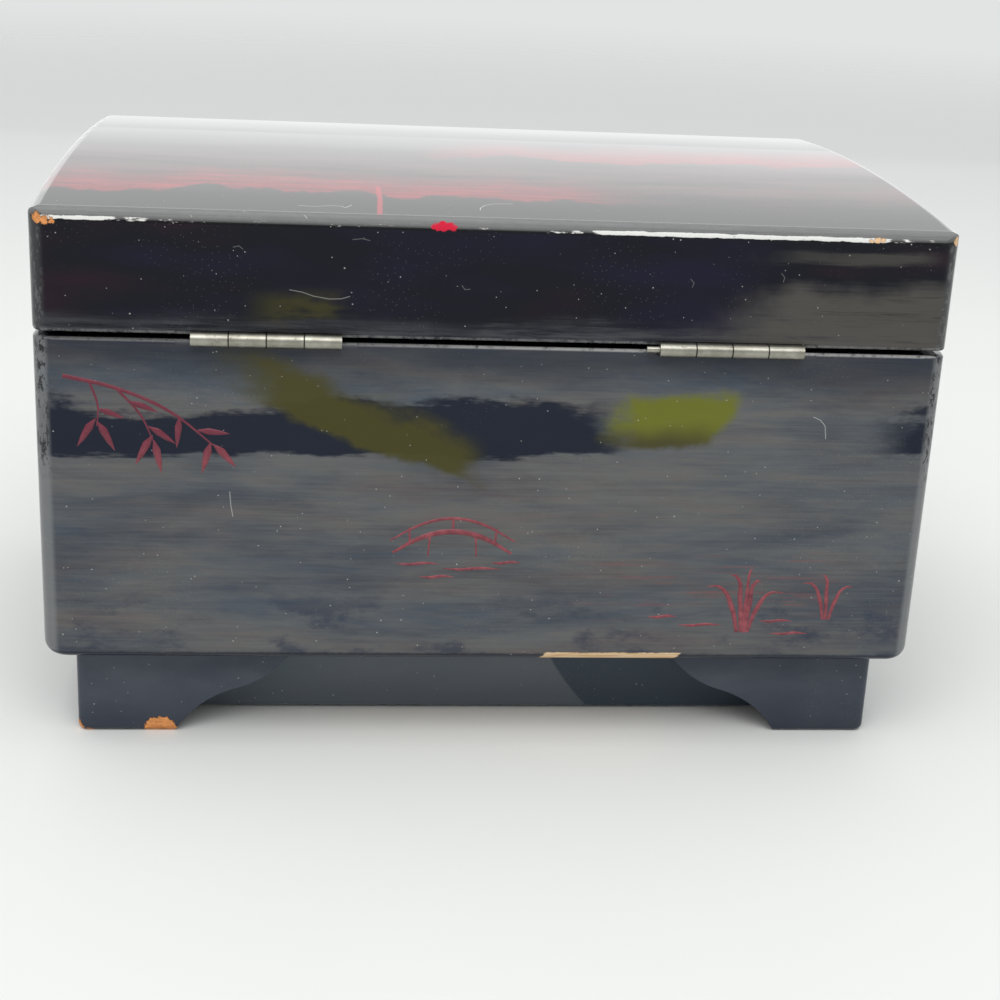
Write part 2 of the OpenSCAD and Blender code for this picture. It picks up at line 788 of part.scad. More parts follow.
// Cast bedplate with the cylinder's two posts and the comb's pedestal
module movement_bedplate() {
    color(zinc) difference() {
        union() {
            block([-bed_w / 2, bed_y - bed_d / 2, floor_z], [bed_w / 2, bed_y + bed_d / 2, bed_top]);
            translate([barrel_x, line_y, bed_top - 0.2]) cylinder(r = arbor_r + 2, h = boss_h + 0.2);
            for (x = [post_x0, post_x1])
                block([x, line_y - post_d / 2, bed_top - 0.2], [x + post_t, line_y + post_d / 2, post_top]);
            comb_pedestal();
        }
        translate([barrel_x, line_y, floor_z - 1]) cylinder(r = arbor_r + run_gap, h = bed_t + boss_h + 2);
        translate([post_x0 - 1, line_y, cyl_z]) rotate([0, 90, 0])
            cylinder(r = shaft_r + run_gap, h = post_x1 + post_t - post_x0 + 2);
        movement_screw_places() translate([0, 0, floor_z - 1]) cylinder(r = 1.4, h = bed_t + 2);
        comb_screw_places() translate([0, 0, cyl_z - 6]) cylinder(r = comb_screw_r, h = 8);
        translate([gov_x, gov_y, floor_z + 1]) cylinder(r = gov_shaft_r + run_gap, h = bed_t);
        translate([gov_x, gov_y + bracket_back, floor_z + 1]) cylinder(r = 1.2, h = bed_t);
    }
}

module movement_screws() {
    color(steel) movement_screw_places() {
        translate([0, 0, case_z - 1.6]) cylinder(r = 2.6, h = 1.6);
        translate([0, 0, case_z - 0.2]) cylinder(r = 1.35, h = bottom_t + bed_t);
    }
}

module tuned_comb() {
    base_y = comb_tip_y + comb_tooth_l;
    color(steel) difference() {
        union() {
            block([cyl_x0, base_y - 0.1, cyl_z - comb_t / 2],
                  [cyl_x0 + cyl_l, base_y + comb_base, cyl_z + comb_t / 2]);
            for (i = [0 : notes - 1])
                translate([track_x0 + i * track, 0, 0])
                    block([-comb_tooth_w / 2, comb_tip_y, cyl_z - comb_t / 4],
                          [comb_tooth_w / 2, base_y, cyl_z + comb_t / 4]);
        }
        comb_screw_places() translate([0, 0, cyl_z - comb_t]) cylinder(r = comb_screw_r + 0.1, h = 2 * comb_t);
    }
}

module comb_screws() {
    color(brass) comb_screw_places() {
        translate([0, 0, cyl_z - 5]) cylinder(r = comb_screw_r - run_gap, h = 5 + comb_t / 2);
        translate([0, 0, cyl_z + comb_t / 2]) cylinder(r = 2.1, h = 1.3);
    }
}

module governor_bracket() {
    post_y = gov_y + bracket_back;
    color(brass) difference() {
        union() {
            translate([gov_x, post_y, bed_top]) cylinder(r = bracket_post / 2, h = bracket_z + bracket_t - bed_top);
            translate([gov_x, post_y, floor_z + 1]) cylinder(r = 1.2 - run_gap, h = bed_t);
            block([gov_x - 1.6, gov_y, bracket_z], [gov_x + 1.6, post_y, bracket_z + bracket_t]);
            translate([gov_x, gov_y, bracket_z]) cylinder(r = 1.6, h = bracket_t);
        }
        translate([gov_x, gov_y, bracket_z - 1]) cylinder(r = gov_shaft_r + run_gap, h = bracket_t + 2);
    }
}

// Going barrel: a cup closed on top, with crown teeth that drive the cylinder's pinion
module spring_barrel() {
    color(brass) translate([barrel_x, line_y, 0]) difference() {
        union() {
            translate([0, 0, barrel_z]) cylinder(r = barrel_r, h = barrel_h);
            for (i = [0 : crown_teeth - 1]) rotate(360 * (i + 0.5) / crown_teeth)
                translate([crown_pitch_r - crown_tooth_l / 2, 0, barrel_top]) rotate([90, 0, 90])
                    linear_extrude(crown_tooth_l) tooth(crown_tooth_h, tooth_root_t, tooth_tip_t);
        }
        translate([0, 0, barrel_z - 1]) cylinder(r = barrel_r - barrel_wall, h = barrel_h + 1 - barrel_wall);
        translate([0, 0, barrel_z]) cylinder(r = arbor_r + run_gap, h = barrel_h + 1);
    }
}

// Spiral mainspring, hooked to the barrel wall
module mainspring() {
    turns = 6;
    step = 24;
    strip = 0.4;
    inner = arbor_r + slide_gap + strip;
    outer = barrel_r - barrel_wall - strip / 2;
    function spiral(offset) = [for (i = [0 : turns * step])
        (inner + (outer - inner) * i / (turns * step) + offset) * [cos(360 * i / step), sin(360 * i / step)]];
    spring_h = barrel_h - barrel_wall - 1.5;
    inside = spiral(-strip / 2);
    color(steel) translate([barrel_x, line_y, barrel_z + 0.5]) linear_extrude(spring_h)
        polygon(concat(spiral(strip / 2), [for (i = [len(inside) - 1 : -1 : 0]) inside[i]]));
}

module winding_arbor() {
    color(steel) translate([barrel_x, line_y, 0]) {
        translate([0, 0, arbor_z]) cylinder(r = arbor_r, h = barrel_top + 0.2 - arbor_z);
        translate([0, 0, barrel_top + 0.2]) cylinder(r = arbor_r + 2, h = 1);
    }
}

module winding_key() {
    color(nickel) translate([barrel_x, line_y, key_z]) difference() {
        union() {
            cylinder(r = key_hub_r, h = key_h);
            rotate([90, 0, 0]) translate([0, 0, -key_t / 2]) linear_extrude(key_t) {
                translate([-key_reach + key_h / 2, 0]) square([2 * key_reach - key_h, key_h]);
                for (side = [-1, 1]) translate([side * (key_reach - key_h / 2), key_h / 2]) circle(key_h / 2);
            }
        }
        translate([0, 0, arbor_z - key_z]) cylinder(r = arbor_r, h = key_h);
    }
}

module cylinder_arbor() {
    color(steel) translate([0, line_y, cyl_z]) {
        translate([pinion_x - pinion_w, 0, 0]) rotate([0, 90, 0])
            cylinder(r = shaft_r, h = post_x1 + post_t + 0.5 - pinion_x + pinion_w);
        translate([pinion_x - pinion_w / 2, 0, 0]) rotate([90, 0, 90]) linear_extrude(pinion_w)
            spur(pinion_teeth, pinion_r, tooth_up, tooth_down, tooth_root_t, tooth_tip_t);
    }
}

// Brass cylinder with two pins in every note's track
module pinned_cylinder() {
    color(brass) translate([0, line_y, cyl_z]) rotate([0, 90, 0]) difference() {
        union() {
            translate([0, 0, cyl_x0]) cylinder(r = cylinder_r, h = cyl_l);
            for (i = [0 : notes - 1], k = [0, 1])
                rotate(i * 137.5 + k * (150 + 11 * (i % 5)))
                    translate([cylinder_r - 0.3, 0, track_x0 + i * track]) rotate([0, 90, 0])
                        cylinder(r = cyl_pin_r, h = pin_h + 0.3, $fn = 16);
        }
        translate([0, 0, cyl_x0 - 1]) cylinder(r = shaft_r, h = cyl_l + 2);
    }
}

module cylinder_wheel() {
    color(brass) translate([wheel_x, line_y, cyl_z]) rotate([90, 0, 90]) linear_extrude(wheel_t) difference() {
        spur(wheel_teeth, wheel_r, wheel_up, wheel_up, 0.9, 0.4);
        circle(shaft_r);
    }
}

// Governor: a worm shaft that the wheel drives, with the air vanes on its upper end
module governor() {
    worm_z = cyl_z - worm_l / 2;
    color(steel) translate([gov_x, gov_y, 0]) {
        translate([0, 0, floor_z + 1.2]) cylinder(r = gov_shaft_r, h = worm_z + 0.1 - floor_z - 1.2);
        translate([0, 0, worm_z]) rotate(90)
            linear_extrude(worm_l, twist = -360 * worm_l / worm_pitch, slices = 48, $fn = 14)
                translate([worm_throw, 0]) circle(worm_core);
        translate([0, 0, worm_z + worm_l - 0.1])
            cylinder(r = gov_shaft_r, h = fan_z + fan_h - worm_z - worm_l + 0.1);
        translate([0, 0, fan_z + fan_h / 2]) cube([2 * fan_r, fan_t, fan_h], center = true);
    }
}

module stop_rod() {
    color(steel) {
        translate([rod_x, rod_y, finger_z]) cylinder(r = rod_r, h = rod_top - finger_z);
        block([rod_x - rod_r, gov_y + 1.5, finger_z], [rod_x + rod_r, rod_y, finger_z + finger_t]);
    }
}

module placed() { translate([0, shift_y, 0]) children(); }

placed() back_panel();
placed() left_side_panel();
placed() right_side_panel();
placed() front_panel();
placed() front_rail();
placed() bottom_panel();
placed() tray_deck();
placed() tray_cross_divider();
placed() tray_short_dividers();
placed() tray_front_divider();
placed() tray_lining();
placed() ring_rolls();
placed() movement_window();
placed() drawer_runners();
placed() drawer_stop();
placed() foot_front_left();
placed() foot_front_right();
placed() foot_back_left();
placed() foot_back_right();
placed() base_front_rail();
placed() base_back_rail();
placed() base_side_rails();
placed() hinge_case_leaf_left();
placed() hinge_case_leaf_right();
placed() hinge_pin_left();
placed() hinge_pin_right();
placed() hinge_case_screws();
placed() lid_board();
placed() lid_back_rail();
placed() lid_front_rail();
placed() lid_left_rail();
placed() lid_right_rail();
placed() lid_lining();
placed() mirror_plate();  // mirror
placed() mirror_beading();
placed() hinge_lid_leaf_left();
placed() hinge_lid_leaf_right();
placed() hinge_lid_screws();
placed() drawer_front();
placed() drawer_left_side();
placed() drawer_right_side();
placed() drawer_back();
placed() drawer_bottom();
placed() drawer_lining();
placed() drawer_knob();
placed() drawer_knob_screw();
placed() movement_bedplate();
placed() movement_screws();
placed() tuned_comb();
placed() comb_screws();
placed() governor_bracket();
placed() spring_barrel();
placed() mainspring();
placed() winding_arbor();
placed() winding_key();
placed() pinned_cylinder();
placed() cylinder_arbor();
placed() cylinder_wheel();
placed() governor();
placed() stop_rod();
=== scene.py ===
import math

import bpy
from mathutils import Matrix, Vector


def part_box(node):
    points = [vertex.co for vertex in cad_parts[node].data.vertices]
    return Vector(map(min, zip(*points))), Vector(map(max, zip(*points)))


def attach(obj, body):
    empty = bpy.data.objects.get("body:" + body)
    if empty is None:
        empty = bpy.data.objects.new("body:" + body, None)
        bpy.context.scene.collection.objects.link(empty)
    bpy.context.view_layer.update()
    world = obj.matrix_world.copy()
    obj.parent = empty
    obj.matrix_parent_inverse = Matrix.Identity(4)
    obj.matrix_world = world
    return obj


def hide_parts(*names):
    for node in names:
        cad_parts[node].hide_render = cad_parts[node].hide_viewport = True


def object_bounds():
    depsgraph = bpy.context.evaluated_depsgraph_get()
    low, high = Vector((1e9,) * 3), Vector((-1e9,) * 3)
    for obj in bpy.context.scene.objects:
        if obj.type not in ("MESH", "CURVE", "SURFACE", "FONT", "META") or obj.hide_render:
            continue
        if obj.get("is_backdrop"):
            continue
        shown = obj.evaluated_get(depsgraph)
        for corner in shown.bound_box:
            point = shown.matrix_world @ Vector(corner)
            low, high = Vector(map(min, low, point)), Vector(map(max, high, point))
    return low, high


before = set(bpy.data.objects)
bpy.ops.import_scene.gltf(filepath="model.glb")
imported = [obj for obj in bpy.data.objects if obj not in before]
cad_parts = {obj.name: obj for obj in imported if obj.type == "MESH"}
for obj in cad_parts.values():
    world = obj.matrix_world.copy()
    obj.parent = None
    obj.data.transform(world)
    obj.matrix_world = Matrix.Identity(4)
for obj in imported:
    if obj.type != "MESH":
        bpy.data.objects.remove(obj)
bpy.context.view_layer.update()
scene = bpy.context.scene
MM = 0.001

# Landmarks in millimetres. The case stands SET_BACK behind the middle of the outer box,
# because the knob reaches forward.
SET_BACK = 4.275
HALF_WIDTH = 90.0
HALF_DEPTH = 64.0
BACK_FACE = HALF_DEPTH + SET_BACK
FRONT_FACE = -HALF_DEPTH + SET_BACK
CASE_BOTTOM = 20.0
CASE_TOP = 87.0
LID_BOTTOM = 88.0
# Fall of the crowned lid for each square millimetre off its middle line
CROWN_FALL = 0.0006
# The axes along which a scratch is measured, on upright faces and on the lid's top
ON_UPRIGHT = (1, 0, 1)
ON_TOP = (1, 1, 0)


# Shader values and finishes

class Value:
    """A number that varies over a surface. Operators on it add Math nodes."""

    def __init__(self, finish, socket):
        self.finish = finish
        self.socket = socket

    def maths(self, operation, first, second=None):
        values = {0: first} if second is None else {0: first, 1: second}
        return self.finish.node("ShaderNodeMath", {"operation": operation}, values)

    def __add__(self, other):
        return self.maths("ADD", self, other)

    def __radd__(self, other):
        return self.maths("ADD", other, self)

    def __sub__(self, other):
        return self.maths("SUBTRACT", self, other)

    def __rsub__(self, other):
        return self.maths("SUBTRACT", other, self)

    def __mul__(self, other):
        return self.maths("MULTIPLY", self, other)

    def __abs__(self):
        return self.maths("ABSOLUTE", self)

    def least(self, other):
        return self.maths("MINIMUM", self, other)

    def most(self, other):
        return self.maths("MAXIMUM", self, other)


class Finish:
    """One material: its nodes, the place on the object in millimetres, and the patterns built on it."""

    def __init__(self, name):
        self.material = bpy.data.materials.new(name)
        self.material.use_nodes = True
        self.tree = self.material.node_tree
        self.tree.nodes.clear()
        self.place = None

    def node(self, kind, settings=None, values=None, out=0):
        made = self.tree.nodes.new(kind)
        for key, value in (settings or {}).items():
            if key == "stops":
                ramp = made.color_ramp
                while len(ramp.elements) < len(value):
                    ramp.elements.new(0.5)
                for element, (at, colour) in zip(ramp.elements, value):
                    element.position = at
                    element.color = (*colour, 1.0)
            else:
                setattr(made, key, value)
        for key, value in (values or {}).items():
            socket = made.inputs[key]
            if isinstance(value, Value):
                self.tree.links.new(value.socket, socket)
            elif hasattr(value, "__len__") and len(value) == 3 and socket.type == "RGBA":
                socket.default_value = (*value, 1.0)
            else:
                socket.default_value = value
        return Value(self, made.outputs[out]) if made.outputs else None

    def point(self):
        """Place on the object in millimetres, as a vector."""
        if self.place is None:
            here = self.node("ShaderNodeTexCoord", out="Object")
            self.place = self.node("ShaderNodeVectorMath", {"operation": "SCALE"}, {0: here, "Scale": 1 / MM})
        return self.place

    def axes(self):
        node = self.node("ShaderNodeSeparateXYZ", values={0: self.point()}).socket.node
        return [Value(self, node.outputs[i]) for i in range(3)]

    def inset(self):
        """Distance inwards from the nearest of the four outer faces, in millimetres."""
        x, y, _ = self.axes()
        return (HALF_WIDTH - abs(x)).least(HALF_DEPTH - abs(y - SET_BACK))

    def stretched(self, scale, move=(0, 0, 0)):
        """The place with each axis scaled, for streaks and grain."""
        return self.node("ShaderNodeMapping",
                         values={"Vector": self.point(), "Scale": scale, "Location": move})

    def noise(self, vector, scale, detail=4.0, rough=0.55, bend=0.0):
        return self.node("ShaderNodeTexNoise", values={
            "Vector": vector, "Scale": scale, "Detail": detail, "Roughness": rough, "Distortion": bend})

    def streaks(self, scale, detail=4.0, rough=0.55, move=(0, 0, 0), bend=0.0):
        """Noise drawn out along the axes on which scale is small."""
        return self.noise(self.stretched(scale, move), 1.0, detail, rough, bend)

    def cells(self, vector, scale):
        """Distance to the nearest of scattered points."""
        return self.node("ShaderNodeTexVoronoi", {"feature": "F1", "voronoi_dimensions": "2D"},
                         {"Vector": vector, "Scale": scale})

    def rise(self, value, low, high):
        """0 below low and 1 above high, smooth between; low may be the larger."""
        return self.node("ShaderNodeMapRange", {"interpolation_type": "SMOOTHSTEP", "clamp": True},
                         {"Value": value, "From Min": low, "From Max": high})

    def band(self, value, low, high, soft):
        """1 between low and high, with soft ends."""
        return self.rise(value, low - soft, low + soft) * self.rise(value, high + soft, high - soft)

    def between(self, first, second):
        """Distance between two places, in millimetres."""
        return self.node("ShaderNodeVectorMath", {"operation": "DISTANCE"}, {0: first, 1: second},
                         out="Value")

    def reach(self, centre):
        """Distance of the shaded point from a place, in millimetres."""
        return self.between(self.point(), centre)

    def scratches(self, lines, half, axes):
        """Thin lines, each through a row of places (millimetres), measured along the given axes."""
        here = self.node("ShaderNodeVectorMath", {"operation": "MULTIPLY"}, {0: self.point(), 1: axes})
        nearest = None
        for knots in lines:
            flat = [Vector([a * b for a, b in zip(knot, axes)]) for knot in knots]
            for start, end in zip(flat, flat[1:]):
                step = end - start
                away = self.node("ShaderNodeVectorMath", {"operation": "SUBTRACT"}, {0: here, 1: start})
                along = self.node("ShaderNodeVectorMath", {"operation": "DOT_PRODUCT"},
                                  {0: away, 1: step / step.length_squared}, out="Value")
                foot = self.node("ShaderNodeVectorMath", {"operation": "SCALE"},
                                 {0: step, "Scale": along.most(0.0).least(1.0)})
                gap = self.between(away, foot)
                nearest = gap if nearest is None else nearest.least(gap)
        return self.rise(nearest, half * 1.4, half * 0.6)

    def colour(self, factor, first, second):
        return self.node("ShaderNodeMix", {"data_type": "RGBA", "clamp_factor": True},
                         {0: factor, 6: first, 7: second}, out=2)

    def ramp(self, value, stops):
        return self.node("ShaderNodeValToRGB", {"stops": stops}, {0: value})

    def bump(self, height, strength, distance, normal=None):
        values = {"Height": height, "Strength": strength, "Distance": distance}
        if normal is not None:
            values["Normal"] = normal
        return self.node("ShaderNodeBump", values=values)

    def done(self, values):
        shader = self.node("ShaderNodeBsdfPrincipled", values=values)
        self.node("ShaderNodeOutputMaterial", values={"Surface": shader})
        return self.material


def hex_colour(text):
    """A written sRGB colour as linear numbers."""
    parts = [int(text[i:i + 2], 16) / 255 for i in (0, 2, 4)]
    return tuple(c / 12.92 if c <= 0.04045 else ((c + 0.055) / 1.055) ** 2.4 for c in parts)


RAW_WOOD = hex_colour("dd965e")
PALE_WOOD = hex_colour("dfc4a0")
NIGHT_BLUE = (0.012, 0.017, 0.036)
INK = (0.003, 0.007, 0.019)
ROSE = (0.42, 0.018, 0.034)
OLIVE = (0.052, 0.047, 0.008)
LIME = (0.128, 0.138, 0.007)
DUST = (0.62, 0.62, 0.59)
PLAIN_LACQUER = (0.008, 0.008, 0.012)
RED_TOUCH = (0.56, 0.022, 0.050)
# The clear coat over all painted surfaces, which gives them their whole gloss
TOP_COAT = {"Specular IOR Level": 0.0, "Coat Roughness": 0.025, "Coat IOR": 1.28}


def wood_chip(f, chips):
    """Where the lacquer has broken away: 1 inside any of the chips (place, radius)."""
    ragged = f.noise(f.point(), 0.9, 3.0) - 0.5
    worn = None
    for place, radius in chips:
        here = f.rise(f.reach(place) + ragged * 1.9, radius + 0.10, radius - 0.10)
        worn = here if worn is None else worn.most(here)
    return worn


def lacquer_coat(f, paint, chips=(), bare=None, marks=None):
    """Closes a lacquer finish: dust, marks, a slightly uneven gloss, a bare patch (where, colour),
    and chips down to the wood."""
    x, y, z = f.axes()
    unrolled = f.node("ShaderNodeCombineXYZ", values={0: x + y * 0.9, 1: z + y * 0.8, 2: 0.0})
    patchy = f.noise(f.point(), 0.16, 2.0)
    speck = f.rise(f.cells(unrolled, 0.24) - (patchy - 0.6) * 0.10, 0.036, 0.014) \
        * f.rise(patchy, 0.50, 0.58)
    fine = f.rise(f.cells(unrolled, 0.62), 0.070, 0.030) \
        * f.rise(f.noise(f.point(), 0.05, 3.0), 0.48, 0.66)
    dirt = speck * 0.46 + fine * 0.11
    if marks is not None:
        dirt = dirt.most(marks)
    paint = f.colour(dirt, paint, DUST)
    peel = f.noise(f.point(), 0.05, 2.0) + f.noise(f.point(), 0.5, 2.0) * 0.06
    normal = f.bump(peel, 0.2, 0.0006)
    rough = 0.35 + f.noise(f.point(), 0.2, 3.0) * 0.1
    coat = 1.0 - dirt
    if bare is not None:
        where, bare_colour = bare
        paint = f.colour(where, paint, bare_colour)
        coat = coat * (1.0 - where)
    if chips:
        chip = wood_chip(f, chips)
        grain = f.rise(f.streaks((0.5, 2.0, 1.6), 4.0, 0.7), 0.36, 0.70)
        wood = f.colour(grain * 0.7, RAW_WOOD, (0.30, 0.13, 0.05))
        wood = f.colour(f.rise(z, 60.0, 100.0) * f.rise(x, 20.0, -20.0) * 0.7, wood, PALE_WOOD)
        paint = f.colour(chip, paint, wood)
        coat = coat * (1.0 - chip)
        normal = f.bump(1.0 - chip, 0.8, 0.0004, normal)
        rough = rough + chip * 0.4
    return f.done({"Base Color": paint, "Roughness": rough, "Coat Weight": coat, "Normal": normal,
                   **TOP_COAT})


def brushed_mist(f, across, up):
    """Grey mist brushed over black in level strokes, with blue, plum and rust in it: colour and cover."""
    cloud = f.streaks((across, across, up), 4.0, 0.55, bend=0.5)
    drift = f.streaks((across * 2.0, across * 2.0, up * 3.4), 5.0, 0.62, move=(5, 2, 9), bend=0.4)
    bristle = f.streaks((0.05, 0.05, 1.7), 5.0, 0.72, move=(8, 1, 4))
    hue = f.streaks((across * 1.2, across * 1.2, up * 2.4), 5.0, 0.66, move=(11, 4, 3), bend=0.4)
    tint = f.ramp(hue, [(0.34, (0.077, 0.090, 0.107)), (0.45, (0.101, 0.108, 0.114)),
                        (0.56, (0.118, 0.117, 0.114)), (0.66, (0.123, 0.110, 0.106)),
                        (0.78, (0.103, 0.096, 0.105))])
    cover = f.rise(cloud * 0.40 + drift * 0.32 + bristle * 0.28, 0.26, 0.62)
    return tint, cover


def case_finish():
    f = Finish("case_lacquer")
    x, y, z = f.axes()
    behind = f.rise(y, BACK_FACE - 7.0, BACK_FACE - 4.6)
    tint, cover = brushed_mist(f, 0.020, 0.060)
    paint = f.colour(cover * 0.74 + 0.24, NIGHT_BLUE, tint)
    # Open night sky below the hinges: an uneven bar that the mist leaves clear, level below and ragged above
    uneven = f.streaks((0.035, 0.035, 0.09), 5.0, 0.62, move=(2, 0, 5)) - 0.5
    ends = 1.0 - behind * f.rise(x + uneven * 50.0, -14.0, -30.0) \
        * f.rise(x + uneven * 24.0, -84.0, -70.0)
    height = z + x * 0.02
    drag = (f.streaks((0.07, 0.07, 1.1), 5.0, 0.7, move=(6, 2, 2)) - 0.5) * 5.0
    bar = f.rise(height + uneven * 7.0 + drag * 0.6, 64.7, 65.7) \
        * f.rise(height + uneven * 24.0 + drag, 76.6, 73.4) * ends
    paint = f.colour(bar * 0.96, paint, INK)
    under_rim = f.rise(z + uneven * 10.0, 76.0, 85.0)
    paint = f.colour(under_rim * 0.66, paint, INK)
    # Darker blue cloud low down
    low = f.streaks((0.045, 0.045, 0.09), 5.0, 0.65, move=(9, 3, 1))
    low = f.rise(low, 0.50, 0.62) * f.band(z, 18.0, 34.0, 5.0)
    paint = f.colour(low * 0.62, paint, (0.016, 0.025, 0.052))
    # Washes of olive and yellow-green on two far slopes
    wash = f.streaks((0.06, 0.0, 0.09), 5.0, 0.65, move=(1, 0, 4)) - 0.5
    pool = f.streaks((0.07, 0.0, 0.10), 1.5, 0.4, move=(3, 0, 8)) - 0.5
    slope = z - 61.0 - (x - 12.0) * 0.40
    olive = f.rise(slope + wash * 10.0, -1.6, 0.8) * f.rise(slope + wash * 16.0, 12.5, 6.5)
    olive = olive * f.rise(x + wash * 18.0, 1.0, 8.0) * f.rise(x + wash * 26.0, 56.0, 40.0) * behind
    lime = f.rise(z + wash * 7.0, 66.0, 68.0) * f.rise(z + wash * 9.0, 79.0, 76.0) * behind \
        * f.rise(x + wash * 9.0 + (z - 70.0) * 0.5, -46.0, -43.5) * f.rise(x + wash * 20.0, -20.0, -27.0)
    paint = f.colour(olive * 0.95, paint, OLIVE)
    paint = f.colour(lime * 0.92, paint, f.colour(f.rise(z + pool * 9.0, 66.5, 73.0), OLIVE, LIME))
    # A rosy cast where the sunset lies on the water
    water = f.streaks((0.05, 0.0, 0.8), 5.0, 0.7, move=(4, 0, 2))
    rosy = f.rise(water, 0.53, 0.64) * f.band(z, 31.0, 45.0, 4.0) \
        * f.band(x, -70.0, -20.0, 9.0) * behind
    paint = f.colour(rosy * 0.42, paint, (0.22, 0.062, 0.066))
    # Plain dark lacquer inside and on top of the walls
    inset = f.inset()
    plain = f.rise(inset, 6.6, 6.95).most(f.rise(z, CASE_TOP - 0.5, CASE_TOP - 0.1))
    paint = f.colour(plain * 0.94, paint, PLAIN_LACQUER)
    # Upright corners rubbed by hands, their grey partly wear and partly painted sheen, with dark nicks; a
    # painted highlight along the upper rim, broken into stretches
    wear_and_sheen_streaks = f.streaks((0.8, 0.8, 0.42), 5.0, 0.75)
    corner = f.rise(abs(x), HALF_WIDTH - 3.7, HALF_WIDTH - 2.4) \
        * f.rise(abs(y - SET_BACK), HALF_DEPTH - 7.0, HALF_DEPTH - 3.5)
    paint = f.colour(corner * 0.7, paint, (0.18, 0.185, 0.19))
    nicks = corner * f.rise(wear_and_sheen_streaks, 0.50, 0.56) * f.rise(z + wear_and_sheen_streaks * 16.0, 66.0, 74.0) \
        * f.rise(y, -90.0, 60.0)
    paint = f.colour(nicks * 0.9, paint, (0.004, 0.005, 0.008))
    # Painted highlight: a pale line along the outer upper rim, stronger towards the -x end
    rim = f.rise(z, CASE_TOP - 0.55, CASE_TOP - 0.25) * f.rise(inset, 1.1, 0.7) \
        * (0.35 + f.rise(x, 40.0, -10.0) * 0.65)
    paint = f.colour(rim * f.rise(wear_and_sheen_streaks, 0.26, 0.52) * 0.9, paint, (0.33, 0.33, 0.32))
    # Bare strip along the lower edge at the back
    ragged = f.noise(f.point(), 0.9, 3.0) - 0.5
    # Painted shade: the lowest two millimetres of the case, on the underside of its rounded lower edge, are
    # darkened
    paint = f.colour(f.rise(z + ragged * 0.5, CASE_BOTTOM + 2.1, CASE_BOTTOM + 1.4) * 0.85, paint, INK)
    strip = f.band(x + ragged * 1.4 + (z - (CASE_BOTTOM + 1.0)) * 0.7, -39.9, -11.5, 0.3) \
        * f.band(z + ragged * 0.6, CASE_BOTTOM - 1.0, CASE_BOTTOM + 2.15, 0.14) * behind
    grain = f.streaks((0.12, 1.5, 2.5), 4.0, 0.65)
    bare = f.colour(f.rise(grain, 0.42, 0.66) * 0.8, PALE_WOOD, hex_colour("bb8c5a"))
    line = f.scratches([[(52.4, 0, 56.4), (52.2, 0, 53.6), (51.8, 0, 51.3)]], 0.09, ON_UPRIGHT)
    hook = f.scratches([[(-63.5, 0, 74.0), (-64.9, 0, 73.4), (-66.0, 0, 72.2), (-66.4, 0, 69.5)]],
                       0.08, ON_UPRIGHT)
    marks = (line * 0.35).most(hook * 0.4) * behind
    return lacquer_coat(f, paint, bare=(strip, bare), marks=marks)


def lid_sides(f, inset):
    """Near black with plum and blue in it, and a dry-brushed grey patch at one end of the back."""
    x, y, z = f.axes()
    depth = y - SET_BACK
    plum = f.streaks((0.014, 0.014, 0.05), 3.0, move=(3, 2, 8))
    side = f.ramp(plum, [(0.36, (0.004, 0.003, 0.017)), (0.50, (0.001, 0.002, 0.006)),
                         (0.64, (0.014, 0.003, 0.010))])
    dry = f.streaks((0.030, 0.030, 0.55), 6.0, 0.75, move=(7, 0, 3))
    edge = f.noise(f.point(), 0.045, 4.0, 0.6) - 0.5
    end = f.rise(x + edge * 40.0 + (z - 94.0) * 0.8, -38.0, -60.0)
    patch = f.rise(z + edge * 10.0 + (dry - 0.5) * 7.0, 102.0, 97.5) * end * f.rise(dry, 0.20, 0.50)
    upper = f.band(z + edge * 4.0 + (dry - 0.5) * 5.0, 105.0, 107.4, 0.8) * end * f.rise(x, -88.0, -80.0)
    patch = patch.most(upper * 0.65)
    streak = f.rise(dry, 0.50, 0.62) * f.band(z + edge * 6.0, 88.5, 92.0, 1.0) \
        * f.band(x + edge * 30.0, -60.0, 6.0, 8.0)
    foot = f.rise(z + edge * 7.0, 93.5, 88.5) * f.rise(dry, 0.34, 0.60)
    side = f.colour(foot * 0.75, side, (0.055, 0.058, 0.066))
    side = f.colour(patch * 0.85, side, (0.074, 0.070, 0.062))
    side = f.colour(streak * 0.5, side, (0.060, 0.060, 0.060))
    olive = f.rise(f.streaks((0.05, 0.05, 0.14), 4.0, move=(1, 5, 4)), 0.44, 0.60) \
        * f.band(x, 28.0, 46.0, 5.0) * f.band(z, 90.0, 96.5, 2.0) * f.rise(y, 60.0, 66.0)
    side = f.colour(olive * 0.6, side, OLIVE)
    # Upright corners rubbed by hands, their grey partly wear and partly painted sheen, with pale nicks
    wear_and_sheen_streaks = f.streaks((0.8, 0.8, 0.42), 5.0, 0.75, move=(3, 3, 3))
    corner = f.rise(abs(x), HALF_WIDTH - 3.4, HALF_WIDTH - 2.0) \
        * f.rise(abs(depth), HALF_DEPTH - 6.0, HALF_DEPTH - 3.0)
    side = f.colour(corner * 0.7, side, (0.040, 0.042, 0.046))
    nicks = corner * f.rise(wear_and_sheen_streaks, 0.50, 0.62) * f.rise(depth, -90.0, 60.0)
    side = f.colour(nicks * 0.4, side, (0.20, 0.20, 0.20))
    # Plain inside and underneath, with a painted highlight along the outer lower edge, broken into stretches
    underneath = f.rise(z, LID_BOTTOM + 0.4, LID_BOTTOM + 0.1) * f.rise(inset, 0.7, 1.1)
    side = f.colour(f.rise(inset, 6.6, 6.95).most(underneath) * 0.94, side, PLAIN_LACQUER)
    lower = f.band(z, LID_BOTTOM + 0.1, LID_BOTTOM + 0.7, 0.2) * f.rise(wear_and_sheen_streaks, 0.32, 0.60) \
        * f.rise(inset, 1.3, 0.8)
    return f.colour(lower * 0.75, side, (0.19, 0.19, 0.19))


